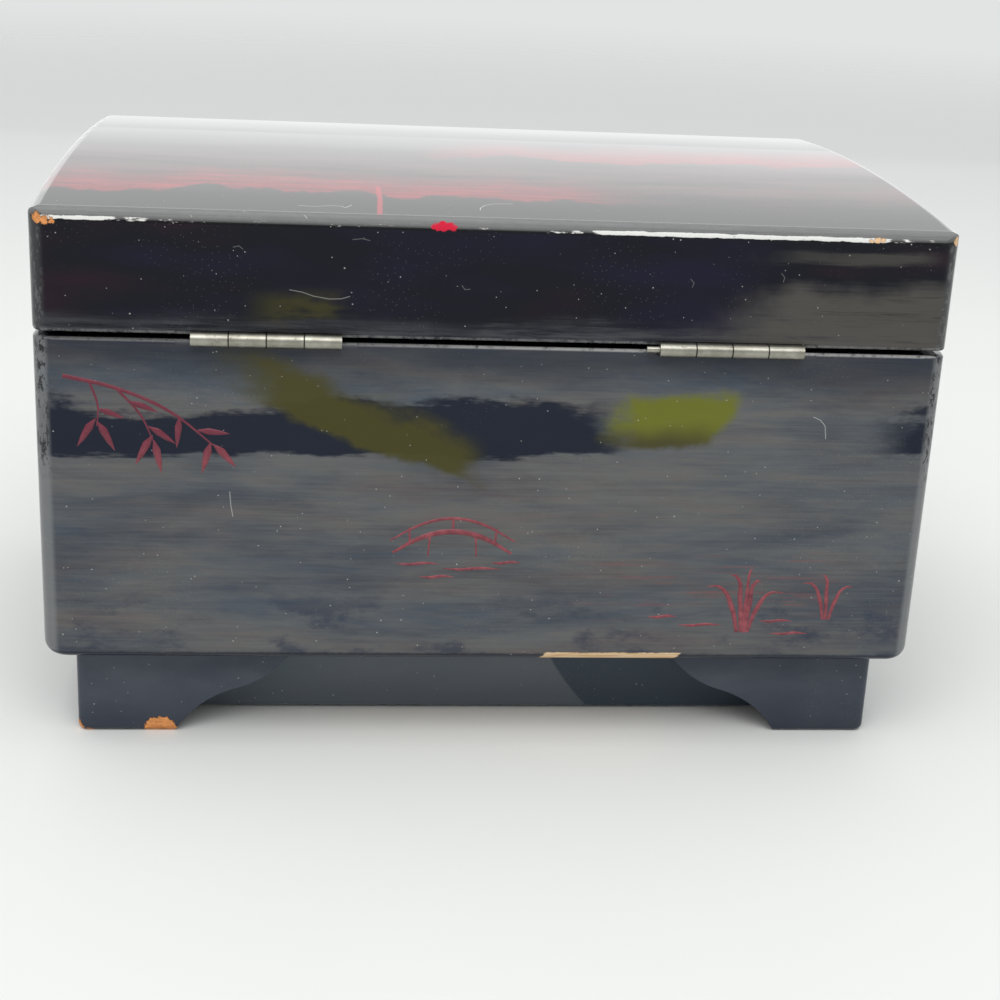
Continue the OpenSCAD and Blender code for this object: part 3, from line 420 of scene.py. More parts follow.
def lid_top(f):
    """Two long bars of sunset mist with lobed lower sides, paling upwards into grey."""
    x, y, _ = f.axes()
    depth = y - SET_BACK
    sweep = f.streaks((0.012, 0.07, 0.0), 5.0, 0.65)
    top = f.colour(f.rise(sweep, 0.30, 0.7), (0.006, 0.006, 0.008), (0.060, 0.056, 0.056))
    hem = f.rise(depth, 28.0, 56.0)
    top = f.colour(hem * 0.9, top, (0.003, 0.003, 0.004))
    lobes = f.streaks((0.062, 0.02, 0.0), 3.0, move=(2, 6, 0)) - 0.5
    wave = f.streaks((0.016, 0.0, 0.0), 1.0, move=(5, 0, 0)) - 0.5
    near = depth - 46.0 + wave * 26.0 + lobes * 24.0
    far = depth - 2.0 + wave * 34.0 - lobes * 20.0
    near_bar = f.rise(near, 1.0, -1.2) * f.rise(near, -24.0, -2.0) \
        * f.band(x + lobes * 26.0, -20.0, 92.0, 10.0)
    far_bar = f.rise(far, 1.4, -1.6) * f.rise(far, -30.0, -3.0) \
        * f.band(x - lobes * 26.0, -96.0, 4.0, 12.0)
    brushed = f.streaks((0.04, 0.5, 0.0), 5.0, 0.75, move=(8, 1, 0))
    rose = f.colour(f.rise(brushed, 0.35, 0.7), (0.15, 0.010, 0.018), ROSE)
    haze = f.rise(near, 4.0, -10.0) * f.rise(near, -60.0, -14.0) * f.rise(brushed + sweep, 0.75, 1.25)
    top = f.colour(haze * 0.55, top, (0.17, 0.055, 0.062))
    top = f.colour(near_bar.most(far_bar) * 0.80, top, rose)
    grain = f.streaks((1.1, 1.1, 0.0), 3.0, 0.8, move=(3, 1, 0))
    return f.colour(f.rise(grain, 0.56, 0.72) * (0.16 - hem * 0.11), top, (0.30, 0.29, 0.28))


def lid_lint(f, above):
    """A hair and short threads on the back, and fluff on the top."""
    behind = f.rise(f.axes()[1], 60.0, 66.0)
    hair = f.scratches([[(41.0, 0, 97.3), (38.6, 0, 96.9), (36.5, 0, 96.2), (33.5, 0, 95.7),
                         (31.2, 0, 95.8), (29.6, 0, 96.3)]], 0.07, ON_UPRIGHT)
    threads = f.scratches([
        [(-36.2, 0, 101.4), (-36.9, 0, 100.6), (-36.6, 0, 99.8)],
        [(-54.0, 0, 103.0), (-54.7, 0, 102.2), (-54.5, 0, 101.3)],
        [(51.6, 0, 105.2), (50.6, 0, 105.5), (49.8, 0, 104.9)],
        [(29.2, 0, 107.3), (27.4, 0, 107.5), (26.0, 0, 107.2)],
        [(8.2, 0, 99.0), (7.6, 0, 98.2), (6.6, 0, 98.3)]], 0.07, ON_UPRIGHT)
    fluff = f.scratches([
        [(4.6, 60.5, 0), (4.4, 58.6, 0), (3.4, 56.6, 0), (1.6, 55.2, 0), (-2.2, 54.6, 0)],
        [(39.5, 60.8, 0), (37.6, 61.3, 0), (36.0, 61.2, 0), (33.2, 60.2, 0), (31.4, 60.6, 0),
         (30.6, 61.6, 0), (29.4, 59.4, 0)]], 0.09, ON_TOP)
    return (hair * behind * 0.3).most(fluff * above * 0.9).most(threads * behind * 0.16)


def lid_finish():
    f = Finish("lid_lacquer")
    x, y, z = f.axes()
    depth = y - SET_BACK
    inset = f.inset()
    crest = z + depth * depth * CROWN_FALL
    above = f.rise(crest, 111.3, 112.4)
    paint = f.colour(above, lid_sides(f, inset), lid_top(f))
    # Red touches: one on the rear edge, and a run of paint
    ragged = f.noise(f.point(), 1.0, 3.0) - 0.5
    spot = f.between(f.stretched((0.36, 1.0, 1.0)), (4.3, BACK_FACE - 0.3, 110.2))
    touch = f.rise(spot + ragged * 1.3, 1.0, 0.75)
    run = f.scratches([[(24.0, 44.0, 0), (23.8, 54.0, 0), (24.2, 66.8, 0)]], 0.50, ON_TOP) \
        * f.rise(z, 109.6, 110.2)
    paint = f.colour(run * 0.8, paint, ROSE)
    # Rounded upper edges: painted reflection in grey, paler towards the crest and strongest at the rear;
    # along the rear one a painted highlight, nearly white in stretches
    sheen_breakup = f.streaks((0.35, 1.2, 1.2), 3.0, 0.6, move=(6, 6, 2))
    rounded = f.rise(crest, 112.15, 112.5) * f.rise(inset, 2.9, 2.1) \
        * (0.35 + f.rise(depth, 52.0, 61.0) * 0.65)
    worn = f.colour(f.rise(crest, 112.5, 113.9), (0.105, 0.105, 0.105), (0.215, 0.215, 0.215))
    paint = f.colour(rounded * (0.80 + sheen_breakup * 0.3), paint, worn)
    # Painted highlight along the rear upper edge
    arris = f.between(f.stretched((0.0, 1.0, 1.0)), (0.0, BACK_FACE - 0.14, 109.95))
    stretches = f.band(x, -77.0, -14.0, 12.0).most(f.band(x, 72.0, HALF_WIDTH, 14.0))
    painted_highlight = f.rise(arris + (0.5 - sheen_breakup) * 0.6 - stretches * 0.16, 0.32, 0.16) \
        * f.rise(sheen_breakup + stretches * 0.38, 0.62, 0.76)
    paint = f.colour(painted_highlight * 0.92, paint, (0.74, 0.74, 0.71))
    chips = [((87.9, BACK_FACE - 1.0, 109.7), 1.1), ((86.4, BACK_FACE - 0.3, 109.4), 0.9),
             ((85.2, BACK_FACE - 0.1, 109.2), 0.6), ((-89.0, BACK_FACE - 1.6, 109.9), 0.9),
             ((-71.2, BACK_FACE - 0.1, 109.9), 0.45), ((-72.4, BACK_FACE - 0.1, 109.9), 0.5),
             ((-73.6, BACK_FACE - 0.1, 109.9), 0.4)]
    return lacquer_coat(f, paint, chips, bare=(touch, RED_TOUCH), marks=lid_lint(f, above))


def foot_finish():
    f = Finish("foot_lacquer")
    x, _, z = f.axes()
    cloud = f.streaks((0.05, 0.05, 0.1), 4.0)
    paint = f.colour(f.rise(cloud, 0.3, 0.7), (0.050, 0.060, 0.082), (0.072, 0.083, 0.104))
    # Painted shade: darker towards the floor; also a little darker towards the -x end
    darker = f.rise(z, 13.0, 0.5) * 0.42 + f.rise(x, -40.0, -70.0) * 0.14
    paint = f.colour(darker, paint, (0.010, 0.014, 0.024))
    chips = [((67.4, BACK_FACE - 8.0, -0.1), 3.5), ((84.4, BACK_FACE - 9.0, 0.6), 1.4),
             ((82.4, BACK_FACE - 8.4, -0.8), 1.3), ((-79.0, BACK_FACE - 8.0, -0.9), 1.1),
             ((82.0, FRONT_FACE + 8.0, -0.4), 1.4)]
    return lacquer_coat(f, paint, chips)


def base_rail_finish():
    f = Finish("base_rail_lacquer")
    x, y, z = f.axes()
    cloud = f.streaks((0.03, 0.03, 0.12), 4.0)
    sprayed = f.colour(f.rise(cloud, 0.3, 0.7), (0.100, 0.126, 0.143), (0.122, 0.136, 0.158))
    # The sprayed coat gives way to painted shade beyond a curve that follows the foot's outline, shifted
    # sideways
    below = CASE_BOTTOM - z
    edge = x + 13.0 + below * 0.26 + below * below * 0.018
    shade = f.rise(edge, 0.35, -0.35) * f.rise(y, 40.0, 46.0)
    paint = f.colour(shade, sprayed, (0.046, 0.064, 0.084))
    # Painted shade: darker towards the floor
    paint = f.colour(f.rise(z, 12.0, 1.0) * 0.35, paint, (0.014, 0.018, 0.028))
    return lacquer_coat(f, paint)


def nickel_finish():
    f = Finish("satin_nickel")
    grain = f.streaks((0.4, 6.0, 6.0), 4.0, 0.7)
    dull = f.noise(f.point(), 0.35, 4.0)
    stain = f.rise(f.noise(f.point(), 0.9, 3.0), 0.60, 0.72)
    paint = f.colour(f.rise(dull, 0.3, 0.7), (0.38, 0.37, 0.32), (0.27, 0.26, 0.22))
    paint = f.colour(stain * 0.45, paint, (0.18, 0.16, 0.12))
    # Dark oil in the joints between the knuckles
    x, y, _ = f.axes()
    along = abs(abs(x) - 45.3)
    joint = f.band(along, -0.14, 0.14, 0.05).most(f.band(along, 7.06, 7.34, 0.05)) * f.rise(y, 67.0, 68.0)
    paint = f.colour(joint * 0.9, paint, (0.02, 0.018, 0.015))
    return f.done({"Base Color": paint, "Metallic": 1.0, "Roughness": 0.26 + grain * 0.14 + stain * 0.2,
                   "Normal": f.bump(grain, 0.15, 0.0001)})


def steel_finish():
    f = Finish("bright_steel")
    grain = f.streaks((0.5, 5.0, 5.0), 4.0, 0.7)
    cloud = f.noise(f.point(), 0.4, 3.0)
    paint = f.colour(cloud, (0.55, 0.56, 0.58), (0.40, 0.41, 0.44))
    return f.done({"Base Color": paint, "Metallic": 1.0, "Roughness": 0.18 + grain * 0.16,
                   "Normal": f.bump(grain, 0.12, 0.0001)})


def brass_finish():
    f = Finish("lacquered_brass")
    turned = f.streaks((7.0, 0.6, 0.6), 4.0, 0.7)
    cloud = f.noise(f.point(), 0.3, 4.0)
    paint = f.colour(f.rise(cloud, 0.35, 0.7), (0.74, 0.53, 0.22), (0.63, 0.44, 0.17))
    return f.done({"Base Color": paint, "Metallic": 1.0, "Roughness": 0.20 + turned * 0.14,
                   "Normal": f.bump(turned, 0.08, 0.0001)})


def zinc_finish():
    f = Finish("cast_zinc")
    skin = f.noise(f.point(), 1.6, 5.0, 0.65)
    cloud = f.noise(f.point(), 0.12, 3.0)
    paint = f.colour(cloud, (0.42, 0.43, 0.44), (0.30, 0.31, 0.33))
    return f.done({"Base Color": paint, "Metallic": 0.9, "Roughness": 0.42 + skin * 0.2,
                   "Normal": f.bump(skin, 0.3, 0.0002)})


def velvet_finish():
    f = Finish("red_velvet")
    pile = f.noise(f.point(), 5.5, 3.0, 0.7)
    nap = f.streaks((0.05, 0.07, 0.06), 4.0, 0.6)
    paint = f.colour(f.rise(nap, 0.25, 0.78), (0.215, 0.008, 0.021), (0.285, 0.012, 0.030))
    paint = f.colour(f.rise(pile, 0.50, 0.75) * 0.45, paint, (0.38, 0.045, 0.062))
    return f.done({"Base Color": paint, "Roughness": 0.75 + pile * 0.2, "Specular IOR Level": 0.2,
                   "Sheen Weight": 0.55, "Sheen Roughness": 0.4, "Sheen Tint": (0.9, 0.35, 0.38),
                   "Normal": f.bump(pile, 0.5, 0.0004)})


def wood_finish(name, lengthwise):
    """Bare softwood with its grain across the box, or lengthwise for boards that run front to back."""
    f = Finish(name)
    ring_scale, fibre_scale = (0.02, 0.35, 0.5), (0.25, 4.0, 4.0)
    if lengthwise:
        ring_scale, fibre_scale = (0.35, 0.02, 0.5), (4.0, 0.25, 4.0)
    rings = f.streaks(ring_scale, 4.0, bend=0.6)
    fibre = f.streaks(fibre_scale, 4.0, 0.7, move=(1, 2, 3))
    paint = f.ramp(rings, [(0.32, (0.52, 0.33, 0.16)), (0.5, (0.60, 0.41, 0.22)),
                           (0.62, (0.44, 0.26, 0.11))])
    paint = f.colour(fibre * 0.4, paint, (0.34, 0.20, 0.09))
    return f.done({"Base Color": paint, "Roughness": 0.55 + fibre * 0.25, "Specular IOR Level": 0.3,
                   "Normal": f.bump(fibre, 0.25, 0.0003)})


def mirror_finish():
    f = Finish("silvered_glass")
    x, y, _ = f.axes()
    age = f.noise(f.point(), 0.08, 4.0)
    rim = f.rise(abs(x), 58.0, 62.0).most(f.rise(abs(y - SET_BACK), 34.0, 38.0))
    foxed = rim * f.rise(age, 0.5, 0.65)
    paint = f.colour(foxed * 0.35, (0.90, 0.91, 0.92), (0.35, 0.32, 0.28))
    return f.done({"Base Color": paint, "Metallic": 1.0, "Roughness": 0.02 + foxed * 0.10})


def window_finish():
    f = Finish("clear_sheet")
    mark = f.streaks((0.3, 0.02, 0.3), 3.0, bend=1.2)
    scratch = f.band(mark, 0.495, 0.505, 0.003)
    paint = f.colour(scratch * 0.4, (0.46, 0.52, 0.51), (0.70, 0.72, 0.72))
    return f.done({"Base Color": paint, "Roughness": 0.03 + scratch * 0.2, "IOR": 1.49,
                   "Specular IOR Level": 1.0, "Alpha": 0.07 + scratch * 0.25})


def red_paint_finish():
    f = Finish("red_brush_paint")
    stroke = f.streaks((0.5, 0.5, 0.5), 4.0, 0.7)
    paint = f.ramp(stroke, [(0.3, (0.13, 0.035, 0.045)), (0.5, (0.22, 0.055, 0.068)),
                            (0.7, (0.30, 0.080, 0.092))])
    _, _, z = f.axes()
    paint = f.colour(f.rise(z + stroke * 6.0, 62.0, 72.0) * 0.7, paint, (0.120, 0.020, 0.040))
    return f.done({"Base Color": paint, "Roughness": 0.35 + stroke * 0.15, "Coat Weight": 1.0, **TOP_COAT})


# Making pieces

# Brush strokes are drawn as round rods, then pressed to a film a few hundredths of a millimetre high
STROKE_WIDENING = 1.45
STROKE_FLATTENING = 0.07
CLOTH_STEPS = 20
PAD_GRID = 2.4 * MM


def clear_selection():
    if bpy.context.object and bpy.context.object.mode != "OBJECT":
        bpy.ops.object.mode_set(mode="OBJECT")
    bpy.ops.object.select_all(action="DESELECT")


def pick(piece):
    """Makes a piece active and the only one selected."""
    clear_selection()
    bpy.context.view_layer.objects.active = piece
    piece.select_set(True)


def edge_gap(place, low, high):
    """Distance from a place to the nearest side of a box, seen from above."""
    return min(place.x - low[0], high[0] - place.x, place.y - low[1], high[1] - place.y)


def applied(piece, *modifiers):
    """Adds each modifier (kind, settings) to the piece and applies it."""
    pick(piece)
    for kind, settings in modifiers:
        made = piece.modifiers.new(kind.lower(), kind)
        for key, value in settings.items():
            setattr(made, key, value)
        bpy.ops.object.modifier_apply(modifier=made.name)


def settle(piece, name, body, material):
    """Names a finished piece, gives it its finish and fixes its place into its mesh."""
    pick(piece)
    bpy.ops.object.transform_apply(location=True, rotation=True, scale=True)
    piece.name = name
    piece.data.name = name
    piece.data.materials.clear()
    piece.data.materials.append(material)
    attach(piece, body)


def brush_strokes(name, strokes, face_y, body, material):
    """Raised strokes on an upright face: each stroke is a list of (x, z, half width) in millimetres."""
    clear_selection()
    bpy.ops.curve.primitive_bezier_curve_add(location=(0, 0, 0))
    piece = bpy.context.object
    curve = piece.data
    curve.splines.clear()
    curve.dimensions = "3D"
    curve.bevel_depth = MM
    curve.bevel_resolution = 1
    curve.use_fill_caps = True
    for points in strokes:
        spline = curve.splines.new("BEZIER")
        spline.bezier_points.add(len(points) - 1)
        spline.resolution_u = 5
        for knot, (x, z, half) in zip(spline.bezier_points, points):
            knot.co = (x * MM, 0, z * MM)
            knot.radius = half * STROKE_WIDENING
            knot.handle_left_type = knot.handle_right_type = "AUTO"
    bpy.ops.object.convert(target="MESH")
    piece = bpy.context.object
    piece.scale = (1, STROKE_FLATTENING, 1)
    piece.location = (0, face_y * MM, 0)
    bpy.ops.object.shade_smooth()
    settle(piece, name, body, material)


def lifted_copy(node, keep=None):
    """A merged copy of a solid's mesh, or of the part of it that keep picks by place."""
    piece = bpy.data.objects.new(node + "_form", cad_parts[node].data.copy())
    scene.collection.objects.link(piece)
    pick(piece)
    bpy.ops.object.mode_set(mode="EDIT")
    bpy.ops.mesh.select_all(action="DESELECT")
    bpy.ops.object.mode_set(mode="OBJECT")
    for point in piece.data.vertices:
        point.select = keep is not None and not keep(point.co)
    bpy.ops.object.mode_set(mode="EDIT")
    bpy.ops.mesh.delete(type="VERT")
    bpy.ops.mesh.select_all(action="SELECT")
    bpy.ops.mesh.remove_doubles(threshold=1e-6)
    bpy.ops.object.mode_set(mode="OBJECT")
    return piece


def stuffed(piece, pressure, cap, held, low_z, high_z):
    """Swells a piece by cloth pressure. Points that held picks stay, and none goes further than cap
    or past the two levels."""
    start = [point.co.copy() for point in piece.data.vertices]
    pins = piece.vertex_groups.new(name="held")
    pins.add([i for i, place in enumerate(start) if held(place)], 1.0, "ADD")
    pick(piece)
    cloth = piece.modifiers.new("stuffing", "CLOTH")
    cloth.settings.use_pressure = True
    cloth.settings.uniform_pressure_force = pressure
    cloth.settings.effector_weights.gravity = 0
    cloth.settings.vertex_group_mass = "held"
    cloth.collision_settings.use_collision = False
    for step in range(1, CLOTH_STEPS + 1):
        scene.frame_set(step)
    bpy.ops.object.modifier_apply(modifier=cloth.name)
    scene.frame_set(1)
    for point, was in zip(piece.data.vertices, start):
        move = point.co - was
        if move.length > cap:
            point.co = was + move * (cap / move.length)
        point.co.z = min(max(point.co.z, low_z), high_z)


def soft_piece(piece, name, body, node):
    """A velvet piece that takes the place of a plain solid."""
    settle(piece, name, body, velvet)
    bpy.ops.object.shade_smooth()
    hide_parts(node)


def ring_cushions():
    """Five stuffed rolls that hold rings between them: one is sewn and stuffed, and the rest copy it."""
    low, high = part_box("ring_rolls")
    count, pitch, first_roll, half_roll = 5, 11.8 * MM, 11.5 * MM, 5.65 * MM
    middle = low[1] + half_roll
    roll = lifted_copy("ring_rolls", lambda place: place.y < low[1] + first_roll)
    applied(roll, ("REMESH", {"mode": "VOXEL", "voxel_size": 1.0 * MM}),
            ("DISPLACE", {"strength": -0.35 * MM, "mid_level": 0.0}))
    stuffed(roll, 8.0, 0.45 * MM, lambda place: place.z < low[2] + 0.8 * MM, low[2], high[2])
    applied(roll, ("SUBSURF", {"levels": 1, "render_levels": 1}))
    # Gathered ends: the cover is drawn in by a thread, in small pleats
    for point in roll.data.vertices:
        end = min(point.co.x - low[0], high[0] - point.co.x)
        draw = max(0.0, 1.0 - end / (7.0 * MM)) ** 2
        turn = math.atan2(point.co.z - low[2] - 1.9 * MM, point.co.y - middle)
        keep = 1.0 - draw * (0.16 + 0.05 * math.cos(13 * turn))
        sway = 0.10 * MM * math.sin(point.co.x / (6.5 * MM)) \
            + 0.07 * MM * math.sin(point.co.x / (2.7 * MM) + 2 * turn)
        point.co.y = middle + (point.co.y - middle) * keep
        rise = max(0.0, point.co.z - low[2])
        point.co.z = low[2] + rise * keep + sway * min(1.0, rise / (4.0 * MM)) * 0.8
    for number in range(count):
        piece = roll if number == count - 1 else roll.copy()
        if piece is not roll:
            piece.data = roll.data.copy()
            scene.collection.objects.link(piece)
            piece.location.y = (number + 1) * pitch
        soft_piece(piece, f"ring_roll_{number + 1}", "case", "ring_rolls")


def lid_cushion():
    """The padded panel in the lid: flat under the mirror and its beading, full in the border around them."""
    low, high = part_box("lid_lining")
    swell, face = 1.3 * MM, 1.4 * MM
    panel = lifted_copy("lid_lining")
    applied(panel, ("REMESH", {"mode": "VOXEL", "voxel_size": 1.9 * MM}))
    inner_low, inner_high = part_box("mirror_beading")

    def under_mirror(place, margin):
        return edge_gap(place, inner_low, inner_high) > -margin

    def held(place):
        return under_mirror(place, MM) or edge_gap(place, low, high) < 1.2 * MM or place.z > low[2] + face

    stuffed(panel, 14.0, swell, held, low[2] - swell, high[2])
    for point in panel.data.vertices:
        edge = edge_gap(point.co, low, high)
        if point.co.z < low[2] + face and not under_mirror(point.co, 0.0):
            along = point.co.x if min(point.co.y - low[1], high[1] - point.co.y) < 12 * MM else point.co.y
            tuck = max(0.0, 1.0 - edge / (4.0 * MM))
            point.co.z += tuck * (0.9 + 0.22 * math.sin(along / (1.9 * MM))) * MM
            point.co.z -= max(0.0, math.sin(math.pi * min(1.0, edge / (14.0 * MM)))) * 0.35 * MM
    applied(panel, ("SUBSURF", {"levels": 1, "render_levels": 1}))
    soft_piece(panel, "lid_padding", "lid", "lid_lining")


def lining_pad(name, low, high, body, node):
    """A velvet-covered card laid in a compartment: edges turned under, top slightly uneven."""
    clear_selection()
    across, deep = high[0] - low[0], high[1] - low[1]
    bpy.ops.mesh.primitive_grid_add(
        x_subdivisions=int(across / PAD_GRID), y_subdivisions=int(deep / PAD_GRID), size=1,
        location=((low[0] + high[0]) / 2, (low[1] + high[1]) / 2, low[2]))
    piece = bpy.context.object
    piece.scale = (across, deep, 1)
    bpy.ops.object.transform_apply(location=True, rotation=True, scale=True)
    bpy.ops.object.mode_set(mode="EDIT")
    bpy.ops.mesh.select_all(action="SELECT")
    bpy.ops.mesh.extrude_region_move(TRANSFORM_OT_translate={"value": (0, 0, high[2] - low[2])})
    bpy.ops.mesh.select_all(action="SELECT")
    bpy.ops.mesh.normals_make_consistent(inside=False)
    bpy.ops.object.mode_set(mode="OBJECT")
    for point in piece.data.vertices:
        if point.co.z > low[2] + 0.3 * MM:
            edge = edge_gap(point.co, low, high)
            point.co.z -= 0.34 * MM * max(0.0, 1.0 - edge / (2.3 * MM))
            wander = 2.0 * math.sin(point.co.y / (14.0 * MM))
            point.co.z -= 0.09 * MM * (1 + math.sin(point.co.x / (9.0 * MM) + wander))
    applied(piece, ("BEVEL", {"width": 0.22 * MM, "segments": 2, "limit_method": "ANGLE"}))
    soft_piece(piece, name, body, node)


# Camera and light, from the photograph

camera = bpy.data.objects.new("camera", bpy.data.cameras.new("camera"))
scene.collection.objects.link(camera)
camera.data.sensor_width = 36
camera.data.lens = 65.04
camera.data.clip_start = 0.01
view_right = Vector((-0.99476, 0.09095, 0.0466))
view_down = Vector((-0.0136, 0.33418, -0.94241))
view_ahead = Vector((-0.10129, -0.93811, -0.33119))
camera.matrix_world = Matrix.Translation(Vector((35.463, 403.285 + SET_BACK, 175.277)) * MM) \
    @ Matrix((view_right, -view_down, -view_ahead)).transposed().to_4x4()
scene.camera = camera
scene.view_settings.view_transform = "Standard"


def area_lamp(name, place, target, size, watts, diffuse=True):
    """A softbox at a place, turned to a target; without diffuse it shows in the gloss only."""
    lamp = bpy.data.objects.new(name, bpy.data.lights.new(name, "AREA"))
    lamp.data.shape = "RECTANGLE"
    lamp.data.size, lamp.data.size_y = size
    lamp.data.energy = watts
    lamp.location = place
    lamp.rotation_euler = (Vector(target) - Vector(place)).to_track_quat("-Z", "Y").to_euler()
    lamp.visible_diffuse = diffuse
    scene.collection.objects.link(lamp)


area_lamp("far_softbox", (0.0, -0.80, 0.40), (0, -0.10, 0.40), (1.9, 0.46), 2.25, diffuse=False)
area_lamp("far_low_softbox", (0.0, -0.80, 0.09), (0, -0.10, 0.09), (1.9, 0.16), 0.64, diffuse=False)
area_lamp("overhead_softbox", (0.10, 0.05, 1.15), (0, 0, 0.05), (0.9, 0.9), 2.1)
area_lamp("rear_softbox", (0.21, 1.34, 1.79), (0, 0.08, 0.0), (2.28, 1.23), 25.6)

# The world lights the room, and shows a paler wall where it is seen directly
world = bpy.data.worlds.new("studio")
scene.world = world
world.use_nodes = True
sky = world.node_tree
sky.nodes.clear()
rays = sky.nodes.new("ShaderNodeLightPath")
seen = sky.nodes.new("ShaderNodeMath")
seen.operation = "MAXIMUM"
sky.links.new(rays.outputs["Is Camera Ray"], seen.inputs[0])
sky.links.new(rays.outputs["Is Transmission Ray"], seen.inputs[1])
lit = sky.nodes.new("ShaderNodeBackground")
lit.inputs["Color"].default_value = (0.96, 0.975, 0.98, 1.0)
lit.inputs["Strength"].default_value = 0.72
shown = sky.nodes.new("ShaderNodeBackground")
shown.inputs["Color"].default_value = (0.755, 0.775, 0.765, 1.0)
shown.inputs["Strength"].default_value = 1.0
choose = sky.nodes.new("ShaderNodeMixShader")
sky.links.new(seen.outputs[0], choose.inputs[0])
sky.links.new(lit.outputs[0], choose.inputs[1])
sky.links.new(shown.outputs[0], choose.inputs[2])
sky.links.new(choose.outputs[0], sky.nodes.new("ShaderNodeOutputWorld").inputs[0])

clear_selection()
bpy.ops.mesh.primitive_circle_add(vertices=96, radius=2.2, fill_type="NGON", location=(0, 0, 0))
floor = bpy.context.object
floor.name = "pale_floor"
f = Finish("pale_floor")
mottle = f.noise(f.point(), 0.01, 3.0)
pale = f.colour(mottle, (0.79, 0.80, 0.78), (0.83, 0.84, 0.82))
# Painted shade: a little darker beyond the box; the floor also fades out before its edge
pale = f.colour(f.rise(f.axes()[1], -120.0, -700.0) * 0.75, pale, (0.70, 0.71, 0.70))
floor.data.materials.append(f.done({
    "Base Color": pale, "Roughness": 0.55, "Specular IOR Level": 0.04,
    "Alpha": f.rise(f.reach((0, 0, 0)), 1900.0, 700.0)}))
floor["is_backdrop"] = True


# Finishes on the solids

case_lacquer = case_finish()
lid_lacquer = lid_finish()
foot_lacquer = foot_finish()
rail_lacquer = base_rail_finish()
nickel = nickel_finish()
steel = steel_finish()
brass = brass_finish()
zinc = zinc_finish()
velvet = velvet_finish()
softwood = wood_finish("plain_softwood", False)
side_softwood = wood_finish("softwood_front_to_back", True)
silvered = mirror_finish()
clear_sheet = window_finish()
red_paint = red_paint_finish()

FINISHES = {
    case_lacquer: ["back_panel", "left_side_panel", "right_side_panel", "front_panel", "front_rail",
                   "drawer_front"],
    lid_lacquer: ["lid_board", "lid_back_rail", "lid_front_rail", "lid_left_rail", "lid_right_rail"],
    foot_lacquer: ["foot_front_left", "foot_front_right", "foot_back_left", "foot_back_right"],
    rail_lacquer: ["base_front_rail", "base_back_rail", "base_side_rails"],
    nickel: ["hinge_case_leaf_left", "hinge_case_leaf_right", "hinge_pin_left", "hinge_pin_right",
             "hinge_case_screws", "hinge_lid_leaf_left", "hinge_lid_leaf_right", "hinge_lid_screws",
             "drawer_knob", "winding_key"],
    steel: ["drawer_knob_screw", "movement_screws", "tuned_comb", "mainspring", "winding_arbor",
            "cylinder_arbor", "governor", "stop_rod"],
    brass: ["mirror_beading", "comb_screws", "governor_bracket", "spring_barrel", "pinned_cylinder",
            "cylinder_wheel"],
    zinc: ["movement_bedplate"],
    velvet: ["tray_cross_divider", "tray_short_dividers", "tray_front_divider", "tray_lining",
             "lid_lining", "drawer_lining", "ring_rolls"],
    softwood: ["bottom_panel", "tray_deck", "drawer_stop", "drawer_back", "drawer_bottom"],
    side_softwood: ["drawer_runners", "drawer_left_side", "drawer_right_side"],
    silvered: ["mirror"],
    clear_sheet: ["movement_window"],
}
for finish, names in FINISHES.items():
    for name in names:
        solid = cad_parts[name]
        solid.data.materials.clear()
        solid.data.materials.append(finish)


# Soft linings in place of their plain solids

ring_cushions()
lid_cushion()
low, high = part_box("tray_lining")
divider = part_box("tray_front_divider")
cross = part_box("tray_cross_divider")
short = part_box("tray_short_dividers")
for name, left, right, front, back in (
        ("front_left_lining", low[0], divider[0][0], low[1], cross[0][1]),
        ("front_right_lining", divider[1][0], high[0], low[1], cross[0][1]),
        ("back_left_lining", low[0], short[0][0], cross[1][1], high[1]),
        ("back_right_lining", short[1][0], high[0], cross[1][1], high[1])):
    lining_pad(name, (left, front, low[2]), (right, back, high[2]), "case", "tray_lining")
lining_pad("drawer_floor_lining", *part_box("drawer_lining"), "drawer", "drawer_lining")


# Brush painting on the back: a hanging bamboo spray, two reed clumps, a footbridge and ripples

# Half width of a stroke where the brush lifts off
TIP = 0.04


def leaf(x, z, over, up, half=0.62):
    """A lance-shaped leaf from its stalk end to its tip."""
    return [(x, z, 0.10), (x + over * 0.35, z + up * 0.30, half),
            (x + over * 0.7, z + up * 0.68, half * 0.7), (x + over, z + up, TIP)]


def blade(x, z, over, up, half=0.42):
    """A reed blade that bends over at its tip."""
    return [(x, z, half * 0.7), (x + over * 0.22, z + up * 0.55, half),
            (x + over * 0.6, z + up * 0.95, half * 0.6), (x + over, z + up * 0.97, TIP)]


def ripple(x, z, length, half=0.24):
    """A short level stroke, pointed at both ends."""
    return [(x - length / 2, z, TIP), (x - length / 6, z + 0.18, half),
            (x + length / 5, z - 0.12, half), (x + length / 2, z + 0.05, TIP)]


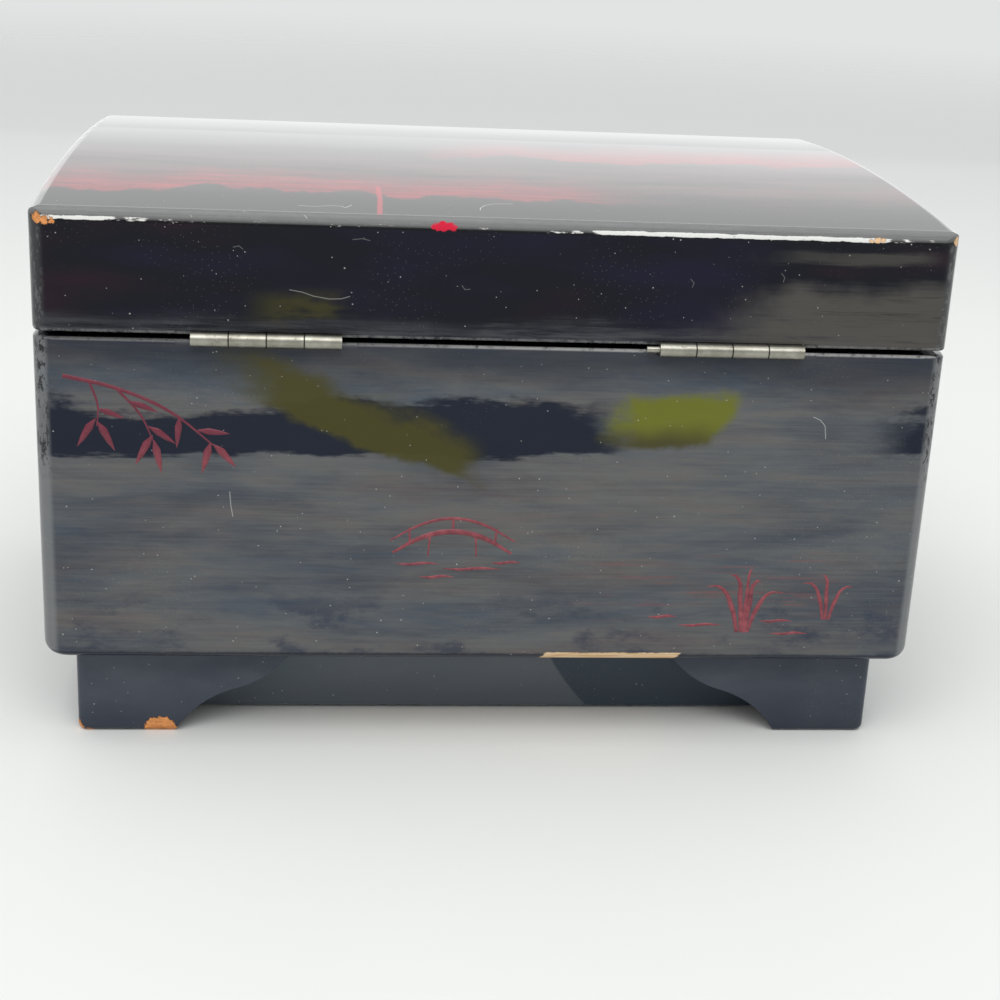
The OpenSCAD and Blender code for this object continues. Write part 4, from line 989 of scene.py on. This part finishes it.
bamboo = [[(84, 79.5, 0.34), (74, 77.2, 0.30), (64, 72.8, 0.24), (55.5, 66.0, 0.10)],
          [(74, 77.2, 0.22), (69.5, 72.0, 0.18), (67, 66.5, 0.08)],
          [(79, 78.4, 0.20), (77.5, 73.5, 0.16), (77.8, 69.5, 0.08)],
          leaf(78, 71.0, 3.6, -5.6), leaf(77.7, 70.4, -3.2, -5.8), leaf(77.6, 73.0, -5.0, -1.8, 0.5),
          leaf(67.2, 67.8, 3.4, -6.0), leaf(67.0, 66.8, -1.4, -6.6), leaf(68.0, 69.6, -5.2, -3.4, 0.55),
          leaf(56.0, 66.6, 1.8, -6.4), leaf(55.6, 66.2, -4.4, -4.6), leaf(58.6, 69.0, -6.2, -0.6, 0.55),
          leaf(62.0, 71.6, 0.6, -6.2, 0.55), leaf(71.6, 74.6, -5.4, -2.0, 0.5)]
reeds = [blade(-52, 27.0, 7.2, 10.6), blade(-52.8, 27.2, 3.2, 13.0), blade(-53.6, 27.0, -2.6, 12.0),
         blade(-54.2, 27.1, -6.8, 9.2), blade(-53.2, 27.0, -1.0, 14.6, 0.30),
         blade(-70, 30.0, 5.0, 8.4, 0.34), blade(-70.6, 30.0, 1.6, 10.2, 0.34),
         blade(-71.2, 30.0, -4.6, 7.6, 0.34)]
bridge = [[(20, 44.0, 0.20), (14, 47.4, 0.42), (8, 48.6, 0.46), (2, 47.4, 0.42), (-4, 44.0, 0.20)],
          [(20.6, 46.6, 0.12), (14, 50.2, 0.24), (8, 51.4, 0.26), (2, 50.2, 0.24), (-4.6, 46.6, 0.12)],
          [(16.6, 46.2, 0.16), (16.8, 49.3, 0.18)], [(8, 48.6, 0.16), (8, 51.4, 0.18)],
          [(-0.6, 46.2, 0.16), (-0.8, 49.3, 0.18)], [(12.6, 47.8, 0.18), (12.9, 43.2, 0.12)],
          [(3.4, 47.8, 0.18), (3.1, 43.2, 0.12)]]
ripples = [ripple(15, 41.6, 9), ripple(4, 40.6, 12), ripple(-3, 42.0, 6), ripple(11, 38.8, 7),
           ripple(-44, 28.6, 9), ripple(-60, 29.6, 7), ripple(-36, 30.4, 6), ripple(-63, 26.8, 8)]
for name, strokes in (("bamboo_spray", bamboo), ("reed_clumps", reeds), ("footbridge", bridge),
                      ("ripples", ripples)):
    brush_strokes(name, strokes, BACK_FACE, "case", red_paint)

low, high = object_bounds()
